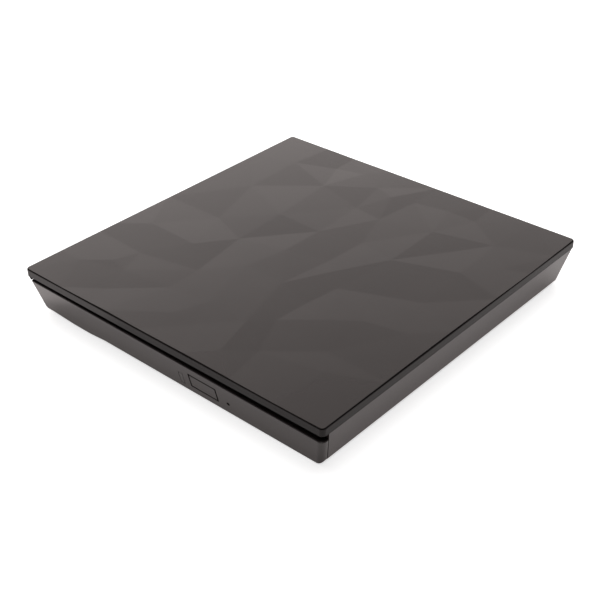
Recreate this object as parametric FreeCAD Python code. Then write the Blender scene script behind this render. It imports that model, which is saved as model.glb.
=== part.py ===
import FreeCAD, Part
import math
import os

# Slim external disc drive with a drawer, in millimetres.
# X runs to the right seen from the front, Y to the back, Z up from the table under the rubber feet.
# Sizes build up from the disc: tray, rails, drive housing and then the case around them.

V = FreeCAD.Vector

# Tray around the disc
DISC_R = 60.0
DISC_CLEAR = 0.8
DISC_OVERHANG = 0.4
TRAY_FRONT_SKIN = 1.2
TRAY_BACK_SKIN = 2.2
TRAY_FRONT_WALL = 1.5
TRAY_CORNER_R = 2.0
SIDE_SKIN = 1.2
RIB_HALF = 1.5
RECESS_DEPTH = 3.9
RECESS_FLOOR_T = 1.2
CORNER_SKIN = 1.2
CORNER_WALL = 1.1
POCKET_GAP = 0.5

# Rails and guides
RAIL_GAP = 0.6
RAIL_W = 2.4
RAIL_H = 3.0
RAIL_LIFT = 1.2
RAIL_WEB = 0.6
RAIL_FLANGE = 0.5
RAIL_INSET = 5.0
RAIL_SHORTER = 25.0
TONGUE_GAP = 0.4
TONGUE_ROOT = 1.0
TONGUE_INSET = 7.0
GUIDE_GAP = 0.3
GUIDE_WEB = 0.6
GUIDE_TOP_T = 1.0
GUIDE_SET_BACK = 0.7
GUIDE_INSET = 1.5
GUIDE_SHORTER = 14.0

# Drive housing
SHEET = 0.5
DRIVE_SET_BACK = 0.5
TRAY_REAR_GAP = 1.6
PLATE_GAP = 0.6
TAB_W = 3.1
TAB_L = 5.0
TAB_T = 0.8
TAB_SCREW_INSET = 2.0
TAB_SCREW_R = 0.7
TAB_HEAD_R = 1.4
TAB_HEAD_T = 0.3
TAB_FRONT = 14.5
TAB_MIDDLE = 5.0
TAB_BACK = 9.6

# Mechanism, laid out along a line from the spindle to the front left corner
MECH_ANGLE = 225.0
ROTOR_R = 12.3
BASE_GAP = 0.4
BASE_T = 0.3
FRAME_LIFT = 0.1
FRAME_T = 0.5
FRAME_BEHIND = 7.7
FRAME_SIDE_GAP = 0.91
FRAME_RIM = 2.8
FRAME_SIDE = 1.4
FEED_SPACE = 3.3
ROD_INSET = 2.7
SLOT_SPACE = 1.7
POCKET_SIDE = 1.3
COVER_SIDE = 4.0
ROD_LIFT = 1.2
ROD_R = 0.8
ROD_BLOCK = 2.2
ROD_BLOCK_HALF = 1.5
ROD_BLOCK_TOP = 1.1
ROD_SEAT = 0.2
SLEEVE_H = 1.3
SLEEVE_BORE = 1.1
SLEEVE_WALL = 1.9
COVER_GAP = 0.2
COVER_T = 0.3
COVER_EDGE = 0.6
PICKUP_BACK = 8.5
PICKUP_LIFT = 0.3
PICKUP_OVER = 0.6
PICKUP_AHEAD = 5.0
PICKUP_GAP = 0.5
PICKUP_ROOM = 0.6
FORK_T = 0.25
FEED_R = 0.8
FEED_ROOT = 0.55
FEED_GAP = 0.3
FEED_RING = 0.7
FEED_STEP = 1.5
FEED_SHORTER = 10.3
MOTOR_L = 17.3
MOTOR_R = 1.9
MOTOR_ROOM = 0.6
FLANGE_T = 0.5
DAMPER_R = 1.9
END_DAMPER_R = 1.4
COVER_SCREW_R = 0.7
COVER_SCREW_U = 36.0

# Spindle
ROTOR_LIFT = 0.5
ROTOR_RISE = 0.6
BELL_WALL = 0.8
BELL_TOP_T = 0.9
BELL_ROUND = 0.3
RING_T = 0.2
RING_INSET = 0.4
RING_GAP = 2.05
HUB_R = 7.35
HUB_H = 2.2
HUB_CHAMFER = 0.7
SHAFT_R = 1.0
BEARING_R = 1.3
MAGNET_T = 1.3
TOOTH_GAP = 0.6
TEETH = 9
PAWLS = 3
PAWL_DROP = 0.95
PAWL_T = 0.45
PAWL_W = 2.4
PAWL_REACH = 0.4
PAWL_L = 1.85
PAWL_ROUND = 0.2

# Latch
PIVOT_INSET_X = 12.1
PIVOT_INSET_Y = 10.0
PIVOT_R = 1.0
LATCH_BORE = 1.3
LATCH_HUB_R = 2.4
LATCH_LIFT = 0.4
LATCH_T = 1.0
POST_LEFT = 3.5
POST_BEHIND = 13.0
POST_R = 1.2
POST_COLLAR = 0.8
POST_GAP = 0.3
FINGER_GAP = 0.35
FINGER_L = 1.8
ARM_W = 1.7
TAIL_W = 3.0
TAIL_INSET = 4.4
TAIL_TAB_H = 2.0

# Boards, sockets and cable
BOARD_W = 29.0
BOARD_D = 76.0
BOARD_T = 0.6
BOARD_LIFT = 0.5
BOARD_SIDE_GAP = 0.6
CHIP_H = 1.0
STEP_GAP = 0.4
STEP_SIDE_GAP = 1.5
STEP_FRONT_GAP = 6.0
SOCKET_W = 20.0
SOCKET_D = 9.2
SOCKET_H = 3.8
SOCKET_INSET = 5.0
SOCKET_PROUD = 0.6
NOTCH_SIDE = 1.5
NOTCH_FRONT = 3.0
PLUG_D = 3.4
BRIDGE_GAP = 1.0
BRIDGE_D = 6.6
BRIDGE_T = 1.0
BRIDGE_LIFT = 1.5
BRIDGE_LEFT = 10.0
BRIDGE_RIGHT_GAP = 3.5
BRIDGE_CORE = 0.8
BRIDGE_HEAD_R = 1.5
USB_X = 0.0
USB_W = 7.6
USB_H = 2.6
USB_D = 5.4
USB_WALL = 0.3
USB_REACH = 1.8
CABLE_W = 10.0
CABLE_T = 0.15
CABLE_REACH = 38.0
CABLE_INSET = 18.0

# Case around the drive
FOOT_H = 1.2
FLOOR_T = 1.5
WALL = 1.65
DRIVE_LIFT = 0.3
FOAM_T = 4.5
FOAM_HALF = 7.0
FOAM_INSET = 24.0
FOAM_FRONT = 18.5
FOAM_BACK = 15.6
CASE_SIDE_ROOM = 6.0
BEZEL_ROOM = 5.25
BACK_ROOM = 3.25
DRAFT = 0.241
BODY_STEP = 0.15
BODY_CORNER_R = 1.5
ROOM_CORNER_R = 0.6
BODY_BOTTOM_ROUND = 0.9
SEAM_H = 0.45
SEAM_DEPTH = 0.9
LID_TOP_T = 1.8
LID_SIDE_H = 3.1
LID_WALL = 1.75
LID_CORNER_R = 1.6
LID_TOP_ROUND = 0.8
LID_RIB_T = 1.0
LID_RIB_H = 1.6
LID_RIB_END = 3.0
LID_RIB_SIDE = 20.0
LID_RIB_ACROSS = 25.0
LIP_T = 1.2
LIP_BEHIND = 0.8
LIP_SIDE = 3.6
LIP_GAP = 0.45
HOOK_L = 10.0
HOOK_T = 1.1
HOOK_REACH = 1.4
HOOK_TIP_INSET = 2.1
HOOK_DROP = 2.9
HOOK_RAMP = 1.2
HOOK_GAP = 0.3
HOOK_FRONT = 21.5
HOOK_MIDDLE = 10.0
HOOK_BACK = 9.6

# Feet and screws
FOOT_R = 5.0
FOOT_SEAT = 0.4
FOOT_ROUND = 0.4
FOOT_INSET_X = 18.0
FOOT_INSET_Y = 17.25
CASE_SCREW_INSET_X = 8.5
CASE_SCREW_INSET_Y = 8.35
HEAD_R = 2.0
HEAD_T = 1.6
HEAD_GAP = 0.3
HEAD_DEPTH = 1.2
BOSS_WALL = 0.3
BOSS_SPLIT = 1.7
SCREW_CORE = 0.9
SCREW_SHORT = 1.0
MOUNT_R = 1.0
MOUNT_HEAD_R = 1.9
MOUNT_HEAD_T = 0.7
MOUNT_HEAD_DEPTH = 0.1
MOUNT_WALL = 1.8
MOUNT_INSET = 19.0
MOUNT_LEFT_FRONT = 26.5
MOUNT_RIGHT_FRONT = 30.5
MOUNT_LEFT_BACK = 19.6
MOUNT_RIGHT_BACK = 7.6
MOUNT_RIGHT_SHIFT = 25.0

# Tray bezel, with the button, the light window and the pinhole
BEZEL_TOP_DROP = 5.7
BEZEL_DROP = 0.1
BEZEL_T = 2.05
BEZEL_WRAP = 2.6
BEZEL_SEAM = 0.35
BEZEL_TILT = 0.45
BEZEL_CORNER_R = 2.1
BEZEL_LEFT_CORNER_R = 0.9
BEZEL_LOW_CORNER_R = 2.5
BEZEL_TOP_ROUND = 0.5
BEZEL_INNER_R = 0.5
FIN_T = 0.8
FIN_GAP = 0.15
GRIP_START = 5.0
GRIP_RAMP_IN = 10.7
GRIP_FLAT = 9.1
GRIP_RAMP_OUT = 8.2
GRIP_DEPTH = 0.8
BUTTON_X = 17.35
BUTTON_RISE = 2.7
BUTTON_W = 12.75
BUTTON_H = 6.0
BUTTON_GAP = 0.6
BUTTON_BACK = 0.8
STEM_W = 2.4
STEM_H = 0.6
STEM_RISE = 0.55
LIGHT_X = 7.0
LIGHT_RISE = 1.5
LIGHT_W = 1.9
LIGHT_H = 4.8
LIGHT_GAP = 0.2
LIGHT_BACK = 0.4
PIPE_W = 1.4
PIPE_H = 1.0
PIPE_RISE = 0.1
PINHOLE_X = 28.3
PINHOLE_RISE = 1.5
PINHOLE_R = 0.65
LUG_W = 6.0
LUG_H = 4.4
LUG_RISE = 2.0
LUG_INSET = 7.6
LUG_SPREAD = 30.0
LUG_SHIFT = 8.0
SWITCH_BOARD_LIFT = 0.15
SWITCH_BOARD_T = 0.55
SWITCH_BOARD_D = 11.6
SWITCH_INSET = 3.4
SWITCH_H = 1.3
LED_INSET = 2.4
LED_W = 1.6
LED_D = 1.4

# Facets pressed into the lid, laid out on a plan of this size
FACET_PLAN_W = 140.0
FACET_PLAN_D = 144.5
FACET_OVER = 0.5
FACET_CLEAR = 0.6

# Facet corners: x from the left edge, y from the front edge, dip below the lid's highest level
FACET_POINTS = [
    (18.5, 125.5, 0.03), (35, 132.5, 0.40), (47, 136, 0.20), (41, 117.5, 0.20), (18.5, 99, 0.30),
    (43.5, 88.5, 0.12), (63.5, 88, 0.24), (44, 65, 0.43), (27, 71.5, 0.48), (11, 51.5, 0.04),
    (34, 51, 0.08), (48.5, 39, 0.28), (23.5, 34, 0.24), (11, 16.5, 0.03), (33, 10, 0.25),
    (49, 24.5, 0.26), (59.5, 53, 0.25), (63, 70, 0.20), (81, 92, 0.40), (77, 52, 0.24),
    (86, 70, 0.30), (97, 89, 0.12), (96.4, 115, 0.03), (75, 110, 0.30), (62.5, 111.5, 0.38),
    (59, 130, 0.16), (104, 132, 0.34), (119.5, 121.5, 0.30), (121, 97.5, 0.03), (94, 62, 0.42),
    (122, 73.5, 0.26), (114, 52, 0.14), (103, 44, 0.24), (91, 34, 0.36), (98.5, 17, 0.44),
    (115.5, 31, 0.34), (122, 22, 0.19), (84, 27, 0.18), (66, 27, 0.16), (89, 9, 0.06),
    (62, 15, 0.12), (131, 110, 0.25), (129, 55, 0.05), (80, 74, 0.40), (92, 48, 0.43),
    (54, 77, 0.35), (109, 106, 0.22), (92, 132, 0.18), (68, 127, 0.05), (20, 24, 0.06),
    (72, 14, 0.17), (77.5, 129, 0.15), (46.5, 51, 0.36), (120.5, 109, 0.16), (28, 22, 0.16),
]

# Facet ends on the lid's edges: place along the edge, dip
FACET_FRONT = [(19, 0.20), (35, 0.13), (42, 0.07), (59, 0.15), (80, 0.10), (102, 0.16), (121, 0.22)]
FACET_BACK = [(21, 0.10), (35, 0.30), (55, 0.12), (78, 0.03), (103, 0.25), (122, 0.06)]
FACET_LEFT = [(16, 0.05), (35, 0.20), (42, 0.12), (71, 0.28), (95, 0.30), (120, 0.28)]
FACET_RIGHT = [(30, 0.10), (51, 0.03), (66, 0.05), (92, 0.14), (113, 0.25), (129, 0.15)]
FACET_FRONT_CORNER = 0.15
FACET_BACK_CORNER = 0.09

# Heights, from the table up
FLOOR_Z = FOOT_H + FLOOR_T
DRIVE_Z = FLOOR_Z + DRIVE_LIFT
PAN_FLOOR = DRIVE_Z + SHEET
BASE_Z = PAN_FLOOR + BASE_GAP
TRAY_Z = BASE_Z + BASE_T
FRAME_Z0 = TRAY_Z + FRAME_LIFT
FRAME_Z1 = FRAME_Z0 + FRAME_T
ROD_Z = FRAME_Z1 + ROD_LIFT
SLEEVE_TOP = ROD_Z + SLEEVE_H
RECESS_Z = SLEEVE_TOP + COVER_GAP
COVER_TOP = RECESS_Z + COVER_T
ROTOR_TOP = COVER_TOP + ROTOR_RISE
DISC_Z = ROTOR_TOP + RING_T
HUB_TOP = DISC_Z + HUB_H
TRAY_TOP = RECESS_Z + RECESS_DEPTH
PLATE_Z = TRAY_TOP + PLATE_GAP
DRIVE_TOP = PLATE_Z + SHEET
CEILING = DRIVE_TOP + FOAM_T
TOTAL_H = CEILING + LID_TOP_T
LID_Z = TOTAL_H - LID_SIDE_H
UNDER_FLOOR = RECESS_Z - RECESS_FLOOR_T
CORNER_SKIN_Z = TRAY_TOP - CORNER_SKIN
BOARD_Z = PAN_FLOOR + BOARD_LIFT
BOARD_TOP = BOARD_Z + BOARD_T
STEP_Z = BOARD_TOP + CHIP_H + STEP_GAP
SOCKET_TOP = BOARD_TOP + SOCKET_H
BRIDGE_Z = FLOOR_Z + BRIDGE_LIFT
BRIDGE_TOP = BRIDGE_Z + BRIDGE_T
RAIL_Z0 = PAN_FLOOR + RAIL_LIFT
RAIL_Z1 = RAIL_Z0 + RAIL_H
TONGUE_Z0 = RAIL_Z0 + RAIL_FLANGE + TONGUE_GAP
TONGUE_Z1 = RAIL_Z1 - RAIL_FLANGE - TONGUE_GAP
LATCH_Z0 = TRAY_Z + LATCH_LIFT
LATCH_Z1 = LATCH_Z0 + LATCH_T
SWITCH_BOARD_Z = TRAY_Z + SWITCH_BOARD_LIFT
SWITCH_TOP = SWITCH_BOARD_Z + SWITCH_BOARD_T
BUTTON_Z = TRAY_Z + BUTTON_RISE
LIGHT_Z = TRAY_Z + LIGHT_RISE
PINHOLE_Z = TRAY_Z + PINHOLE_RISE
BEZEL_Z0 = FOOT_H - BEZEL_DROP
BEZEL_Z1 = TOTAL_H - BEZEL_TOP_DROP
BEZEL_MID = (BEZEL_Z0 + BEZEL_Z1) / 2
HEAD_Z0 = FOOT_H + HEAD_DEPTH
HEAD_Z1 = HEAD_Z0 + HEAD_T
MOUNT_HEAD_Z0 = FOOT_H + MOUNT_HEAD_DEPTH
MOUNT_HEAD_Z1 = MOUNT_HEAD_Z0 + MOUNT_HEAD_T
BOSS_JOIN = LID_Z - BOSS_SPLIT
SCREW_TIP = CEILING - SCREW_SHORT

# Widths, from the middle out
RECESS_R = DISC_R + DISC_CLEAR
CORNER_R = RECESS_R + CORNER_WALL
TRAY_HALF_W = DISC_R - DISC_OVERHANG
RAIL_X0 = TRAY_HALF_W + RAIL_GAP
RAIL_X1 = RAIL_X0 + RAIL_W
TONGUE_X = RAIL_X1 - RAIL_WEB - TONGUE_GAP
GUIDE_X0 = RAIL_X0 + GUIDE_SET_BACK
GUIDE_X1 = RAIL_X1 + GUIDE_GAP + GUIDE_WEB
DRIVE_HALF_W = GUIDE_X1 + SHEET
LID_W = 2 * (DRIVE_HALF_W + CASE_SIDE_ROOM)
BOARD_X1 = TRAY_HALF_W - BOARD_SIDE_GAP
BOARD_X0 = BOARD_X1 - BOARD_W
STEP_X = BOARD_X0 - STEP_SIDE_GAP
SOCKET_X1 = BOARD_X1 - SOCKET_INSET
SOCKET_X0 = SOCKET_X1 - SOCKET_W
NOTCH_X = SOCKET_X0 - NOTCH_SIDE
PIVOT_X = TRAY_HALF_W - PIVOT_INSET_X
POST_X = PIVOT_X - POST_LEFT
CASE_SCREW_X = LID_W / 2 - CASE_SCREW_INSET_X
BRIDGE_X0 = USB_X - BRIDGE_LEFT
BRIDGE_X1 = CASE_SCREW_X - BRIDGE_RIGHT_GAP

# Depths, from the front back
TRAY_D = 2 * RECESS_R + TRAY_FRONT_SKIN + TRAY_BACK_SKIN
LID_D = BEZEL_ROOM + TRAY_D + TRAY_REAR_GAP + BRIDGE_GAP + BRIDGE_D + USB_REACH + BACK_ROOM
TRAY_FRONT = BEZEL_ROOM - LID_D / 2
TRAY_BACK = TRAY_FRONT + TRAY_D
SPINDLE_Y = TRAY_FRONT + TRAY_FRONT_SKIN + RECESS_R
DRIVE_FRONT = TRAY_FRONT + DRIVE_SET_BACK
DRIVE_BACK = TRAY_BACK + TRAY_REAR_GAP
RAIL_FRONT = TRAY_FRONT + RAIL_INSET
RAIL_BACK = RAIL_FRONT + TRAY_D - RAIL_SHORTER
GUIDE_FRONT = DRIVE_FRONT + GUIDE_INSET
GUIDE_BACK = GUIDE_FRONT + RAIL_BACK - RAIL_FRONT - GUIDE_SHORTER
BOARD_Y1 = TRAY_BACK
BOARD_Y0 = BOARD_Y1 - BOARD_D
STEP_Y = BOARD_Y0 - STEP_FRONT_GAP
SOCKET_Y1 = DRIVE_BACK + SOCKET_PROUD
SOCKET_Y0 = SOCKET_Y1 - SOCKET_D
NOTCH_Y = SOCKET_Y0 - NOTCH_FRONT
BRIDGE_Y0 = DRIVE_BACK + BRIDGE_GAP
BRIDGE_Y1 = BRIDGE_Y0 + BRIDGE_D
USB_Y1 = BRIDGE_Y1 + USB_REACH
PIVOT_Y = TRAY_FRONT + PIVOT_INSET_Y
POST_Y = PIVOT_Y + POST_BEHIND
TAIL_Y = TRAY_FRONT + TAIL_INSET
SWITCH_Y0 = TRAY_FRONT + SWITCH_INSET
LED_Y0 = TRAY_FRONT + LED_INSET
LIP_Y1 = TRAY_FRONT - LIP_BEHIND
LIP_Y0 = LIP_Y1 - LIP_T
HOOK_X1 = LID_W / 2 - HOOK_TIP_INSET - HOOK_REACH
HOOK_STEP = LID_Z - HOOK_DROP

# Mechanism, U along its line from the spindle and V across it
FEED_V = ROTOR_R + FEED_SPACE
FRAME_V = FEED_V + FRAME_SIDE
SLOT_V = FRAME_V - FRAME_RIM
ROD_V = SLOT_V - ROD_INSET
PICKUP_V = ROD_V - SLEEVE_WALL
POCKET_V = FRAME_V + POCKET_SIDE
COVER_V = FRAME_V + COVER_SIDE
FRAME_U0 = -ROTOR_R - FRAME_BEHIND
FRAME_U1 = (TRAY_HALF_W - FRAME_SIDE_GAP) * math.sqrt(2) - FRAME_V
SLOT_U0 = ROTOR_R + SLOT_SPACE
SLOT_U1 = FRAME_U1 - FRAME_RIM
ROD_U0 = SLOT_U0 + ROD_SEAT
ROD_U1 = SLOT_U1 - ROD_SEAT
PICKUP_U = SLOT_U0 + PICKUP_GAP + PICKUP_BACK
MOTOR_U1 = ROTOR_R
MOTOR_U0 = MOTOR_U1 - MOTOR_L
FEED_U0 = MOTOR_U1 + FEED_GAP
FEED_U1 = FRAME_U1 - FEED_SHORTER
COVER_R = RECESS_R - COVER_EDGE
BELL_R = ROTOR_R - BELL_WALL
BELL_CEILING = ROTOR_TOP - BELL_TOP_T
ROTOR_Z = FRAME_Z1 + ROTOR_LIFT
MAGNET_R = BELL_R - MAGNET_T
TOOTH_R = MAGNET_R - TOOTH_GAP
PAWL_Z0 = HUB_TOP - PAWL_DROP
PAWL_Z1 = PAWL_Z0 + PAWL_T
PICKUP_Z0 = FRAME_Z0 + PICKUP_LIFT
PICKUP_Z1 = ROD_Z + PICKUP_OVER
FORK_Z = SLEEVE_TOP - FORK_T

# Places of what repeats
FOOT_X, FOOT_Y = LID_W / 2 - FOOT_INSET_X, LID_D / 2 - FOOT_INSET_Y
FEET = [(-FOOT_X, -FOOT_Y), (FOOT_X, -FOOT_Y), (-FOOT_X, FOOT_Y), (FOOT_X, FOOT_Y)]
CASE_SCREW_Y = LID_D / 2 - CASE_SCREW_INSET_Y
CASE_SCREWS = [(-CASE_SCREW_X, CASE_SCREW_Y), (CASE_SCREW_X, CASE_SCREW_Y)]
MOUNT_X = DRIVE_HALF_W - MOUNT_INSET
DRIVE_SCREWS = [(-MOUNT_X, DRIVE_FRONT + MOUNT_LEFT_FRONT), (MOUNT_X, DRIVE_FRONT + MOUNT_RIGHT_FRONT),
                (-MOUNT_X, DRIVE_BACK - MOUNT_LEFT_BACK),
                (MOUNT_X - MOUNT_RIGHT_SHIFT, DRIVE_BACK - MOUNT_RIGHT_BACK)]
BRIDGE_SCREWS = [(BRIDGE_X0 + 3.2, BRIDGE_Y0 + 3.4), (BRIDGE_X1 - 2.4, BRIDGE_Y0 + 4.0)]
TAB_YS = [DRIVE_FRONT + TAB_FRONT, SPINDLE_Y + TAB_MIDDLE, DRIVE_BACK - TAB_BACK]
FOAM_X = DRIVE_HALF_W - FOAM_INSET
FOAM_YS = [DRIVE_FRONT + FOAM_FRONT, DRIVE_BACK - FOAM_BACK]
HOOK_YS = [DRIVE_FRONT + HOOK_FRONT, SPINDLE_Y + HOOK_MIDDLE, DRIVE_BACK - HOOK_BACK]
LID_RIB_XS = [-LID_RIB_SIDE, LID_RIB_SIDE]
LID_RIB_YS = [SPINDLE_Y - LID_RIB_ACROSS, SPINDLE_Y + LID_RIB_ACROSS]
LUG_XS = [LUG_INSET - TRAY_HALF_W, LUG_SHIFT - LUG_SPREAD, LUG_SHIFT + LUG_SPREAD, TRAY_HALF_W - LUG_INSET]
BACK_MOUNTS = [(FRAME_U0 + 3.0, FRAME_V - 3.5), (FRAME_U0 + 3.0, 3.5 - FRAME_V)]
END_MOUNTS = [(FRAME_U1 - 1.6, FRAME_V - 1.8), (FRAME_U1 - 1.6, 1.8 - FRAME_V)]
SIDE_MOUNTS = [(COVER_SCREW_U, POCKET_V + 1.4), (COVER_SCREW_U, -FRAME_V - 2.3)]


# Small shape helpers

def box(x0, x1, y0, y1, z0, z1):
    return Part.makeBox(x1 - x0, y1 - y0, z1 - z0, V(x0, y0, z0))


def rod(x, y, z0, z1, r):
    return Part.makeCylinder(r, z1 - z0, V(x, y, z0))


def rod_x(x0, x1, y, z, r):
    return Part.makeCylinder(r, x1 - x0, V(x0, y, z), V(1, 0, 0))


def rod_y(x, y0, y1, z, r):
    return Part.makeCylinder(r, y1 - y0, V(x, y0, z), V(0, 1, 0))


def fuse(shapes):
    first = shapes[0]
    return first.fuse(shapes[1:]).removeSplitter()


def group(shapes):
    return Part.makeCompound(shapes)


def turned(shape, degrees):
    placed = shape.copy()
    placed.rotate(V(0, 0, 0), V(0, 0, 1), degrees)
    return placed


def mirrored(shape, side):
    if side > 0:
        return shape
    return shape.mirror(V(0, 0, 0), V(1, 0, 0))


def plate_xz(points, y0, y1):
    wire = Part.makePolygon([V(x, y0, z) for x, z in points + points[:1]])
    return Part.Face(wire).extrude(V(0, y1 - y0, 0))


def plate_yz(points, x0, x1):
    wire = Part.makePolygon([V(x0, y, z) for y, z in points + points[:1]])
    return Part.Face(wire).extrude(V(x1 - x0, 0, 0))


def plate_xy(points, z0, z1):
    wire = Part.makePolygon([V(x, y, z0) for x, y in points + points[:1]])
    return Part.Face(wire).extrude(V(0, 0, z1 - z0))


def upright_edges(shape, least):
    found = []
    for edge in shape.Edges:
        ends = edge.Vertexes
        if len(ends) == 2 and abs(ends[0].Z - ends[1].Z) > least:
            found.append(edge)
    return found


def level_edges(shape, z):
    found = []
    for edge in shape.Edges:
        bounds = edge.BoundBox
        if abs(bounds.ZMin - z) < 1e-4 and abs(bounds.ZMax - z) < 1e-4:
            found.append(edge)
    return found


# A cross-shaped recess in the underside of a screw head
def cross_recess(x, y, z0, half_l, depth):
    half_t = 0.2
    return fuse([box(x - half_l, x + half_l, y - half_t, y + half_t, z0, z0 + depth),
                 box(x - half_t, x + half_t, y - half_l, y + half_l, z0, z0 + depth)])


# Places a shape drawn along the mechanism line, with U as X and V as Y
def on_mech(shape):
    placed = turned(shape, MECH_ANGLE)
    placed.translate(V(0, SPINDLE_Y, 0))
    return placed


# The bezel and what is set into it sit a little askew, lower at the right
def askew(shape):
    placed = shape.copy()
    placed.rotate(V(0, 0, BEZEL_MID), V(0, 1, 0), BEZEL_TILT)
    return placed


# Half width and half depth of the drafted body at a height
def half_w(z, offset=0.0):
    return LID_W / 2 - BODY_STEP - DRAFT * (LID_Z - z) - offset


def half_d(z, offset=0.0):
    return LID_D / 2 - BODY_STEP - DRAFT * (LID_Z - z) - offset


def drafted_body(z0, z1, offset, corner_r):
    w0, d0 = half_w(z0, offset), half_d(z0, offset)
    w1, d1 = half_w(z1, offset), half_d(z1, offset)
    body = Part.makeWedge(-w0, z0, -d0, -d1, -w1, w0, z1, d0, d1, w1)
    body.rotate(V(0, 0, 0), V(1, 0, 0), 90)
    return body.makeFillet(corner_r, upright_edges(body, (z1 - z0) / 2))


# Everything in front of the drafted front plane moved back by a depth
def front_zone(z0, z1, depth):
    far = -LID_D
    points = [(far, z0), (-half_d(z0) + depth, z0), (-half_d(z1) + depth, z1), (far, z1)]
    return plate_yz(points, -LID_W, LID_W)


# Lid

def circumcircle(a, b, c):
    d = 2 * (a[0] * (b[1] - c[1]) + b[0] * (c[1] - a[1]) + c[0] * (a[1] - b[1]))
    if abs(d) < 1e-6:
        return None
    aa = a[0] ** 2 + a[1] ** 2
    bb = b[0] ** 2 + b[1] ** 2
    cc = c[0] ** 2 + c[1] ** 2
    x = (aa * (b[1] - c[1]) + bb * (c[1] - a[1]) + cc * (a[1] - b[1])) / d
    y = (aa * (c[0] - b[0]) + bb * (a[0] - c[0]) + cc * (b[0] - a[0])) / d
    return x, y, (a[0] - x) ** 2 + (a[1] - y) ** 2


# The facet ends in order around the lid, a little outside its edges
def facet_rim():
    x0, y0 = -FACET_OVER, -FACET_OVER
    x1, y1 = LID_W + FACET_OVER, LID_D + FACET_OVER
    wide, deep = LID_W / FACET_PLAN_W, LID_D / FACET_PLAN_D
    rim = [(x0, y0, FACET_FRONT_CORNER)]
    rim += [(x * wide, y0, dip) for x, dip in FACET_FRONT]
    rim += [(x1, y0, FACET_FRONT_CORNER)]
    rim += [(x1, y * deep, dip) for y, dip in FACET_RIGHT]
    rim += [(x1, y1, FACET_BACK_CORNER)]
    rim += [(x * wide, y1, dip) for x, dip in reversed(FACET_BACK)]
    rim += [(x0, y1, FACET_BACK_CORNER)]
    rim += [(x0, y * deep, dip) for y, dip in reversed(FACET_LEFT)]
    return rim


def facet_triangles(points):
    triangles = []
    count = len(points)
    for i in range(count):
        for j in range(i + 1, count):
            for k in range(j + 1, count):
                circle = circumcircle(points[i], points[j], points[k])
                if circle is None:
                    continue
                x, y, rr = circle
                inside = False
                for n in range(count):
                    if n in (i, j, k):
                        continue
                    if (points[n][0] - x) ** 2 + (points[n][1] - y) ** 2 < rr - 1e-7:
                        inside = True
                        break
                if not inside:
                    triangles.append((i, j, k))
    return triangles


# The block of air above the facets, which is cut out of the lid
def facet_cutter():
    rim = facet_rim()
    wide, deep = LID_W / FACET_PLAN_W, LID_D / FACET_PLAN_D
    points = rim + [(x * wide, y * deep, dip) for x, y, dip in FACET_POINTS]
    low = [V(x - LID_W / 2, y - LID_D / 2, TOTAL_H - dip) for x, y, dip in points]
    faces = []
    for i, j, k in facet_triangles(points):
        faces.append(Part.Face(Part.makePolygon([low[i], low[j], low[k], low[i]])))
    count = len(rim)
    high = [V(p.x, p.y, TOTAL_H + FACET_CLEAR) for p in low[:count]]
    for i in range(count):
        n = (i + 1) % count
        faces.append(Part.Face(Part.makePolygon([low[i], low[n], high[n], high[i], low[i]])))
    faces.append(Part.Face(Part.makePolygon(high + high[:1])))
    shell = Part.makeShell(faces)
    shell.sewShape()
    return Part.makeSolid(shell)


def lid_hooks():
    hook_x0 = HOOK_X1 - HOOK_T
    tip = HOOK_X1 + HOOK_REACH
    foot = HOOK_STEP - HOOK_RAMP
    hooks = []
    for side in (-1, 1):
        for y in HOOK_YS:
            arm = [(hook_x0, CEILING), (HOOK_X1, CEILING), (HOOK_X1, HOOK_STEP),
                   (tip, HOOK_STEP), (HOOK_X1, foot), (hook_x0, foot)]
            arm = [(side * x, z) for x, z in arm]
            hooks.append(plate_xz(arm, y - HOOK_L / 2, y + HOOK_L / 2))
    return hooks


def make_top_cover():
    w, d = LID_W / 2, LID_D / 2
    lid = box(-w, w, -d, d, LID_Z, TOTAL_H)
    lid = lid.makeFillet(LID_CORNER_R, upright_edges(lid, LID_SIDE_H / 2))
    lid = lid.makeFillet(LID_TOP_ROUND, level_edges(lid, TOTAL_H))
    room = box(-w + LID_WALL, w - LID_WALL, -d + LID_WALL, d - LID_WALL, LID_Z, CEILING)
    lid = lid.cut(room)
    lip = box(-w + LIP_SIDE, w - LIP_SIDE, LIP_Y0, LIP_Y1, DRIVE_TOP + LIP_GAP, CEILING)
    half = LID_RIB_T / 2
    rib_z = CEILING - LID_RIB_H
    ribs = []
    for x in LID_RIB_XS:
        ribs.append(box(x - half, x + half, LIP_Y1, d - LID_RIB_END, rib_z, CEILING))
    for y in LID_RIB_YS:
        ribs.append(box(-w + LID_RIB_END, w - LID_RIB_END, y - half, y + half, rib_z, CEILING))
    bosses = [rod(x, y, BOSS_JOIN, CEILING, HEAD_R + HEAD_GAP + BOSS_WALL) for x, y in CASE_SCREWS]
    lid = fuse([lid, lip] + ribs + bosses + lid_hooks())
    for x, y in CASE_SCREWS:
        lid = lid.cut(rod(x, y, BOSS_JOIN, SCREW_TIP, SCREW_CORE))
    return lid.cut(facet_cutter())


# Case

def usb_opening():
    room = 0.2
    wide = USB_W / 2 + room
    return box(USB_X - wide, USB_X + wide, BRIDGE_Y1, LID_D, BRIDGE_TOP - room, BRIDGE_TOP + USB_H + room)


def case_bosses():
    root = FLOOR_Z - 0.2
    head_room = HEAD_R + HEAD_GAP
    mount_room = MOUNT_HEAD_R + HEAD_GAP
    bosses = [rod(x, y, root, BOSS_JOIN, head_room + BOSS_WALL) for x, y in CASE_SCREWS]
    bosses += [rod(x, y, root, DRIVE_Z, mount_room + MOUNT_WALL) for x, y in DRIVE_SCREWS]
    bosses += [rod(x, y, root, BRIDGE_Z, BRIDGE_CORE + 1.2) for x, y in BRIDGE_SCREWS]
    return bosses


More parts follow.
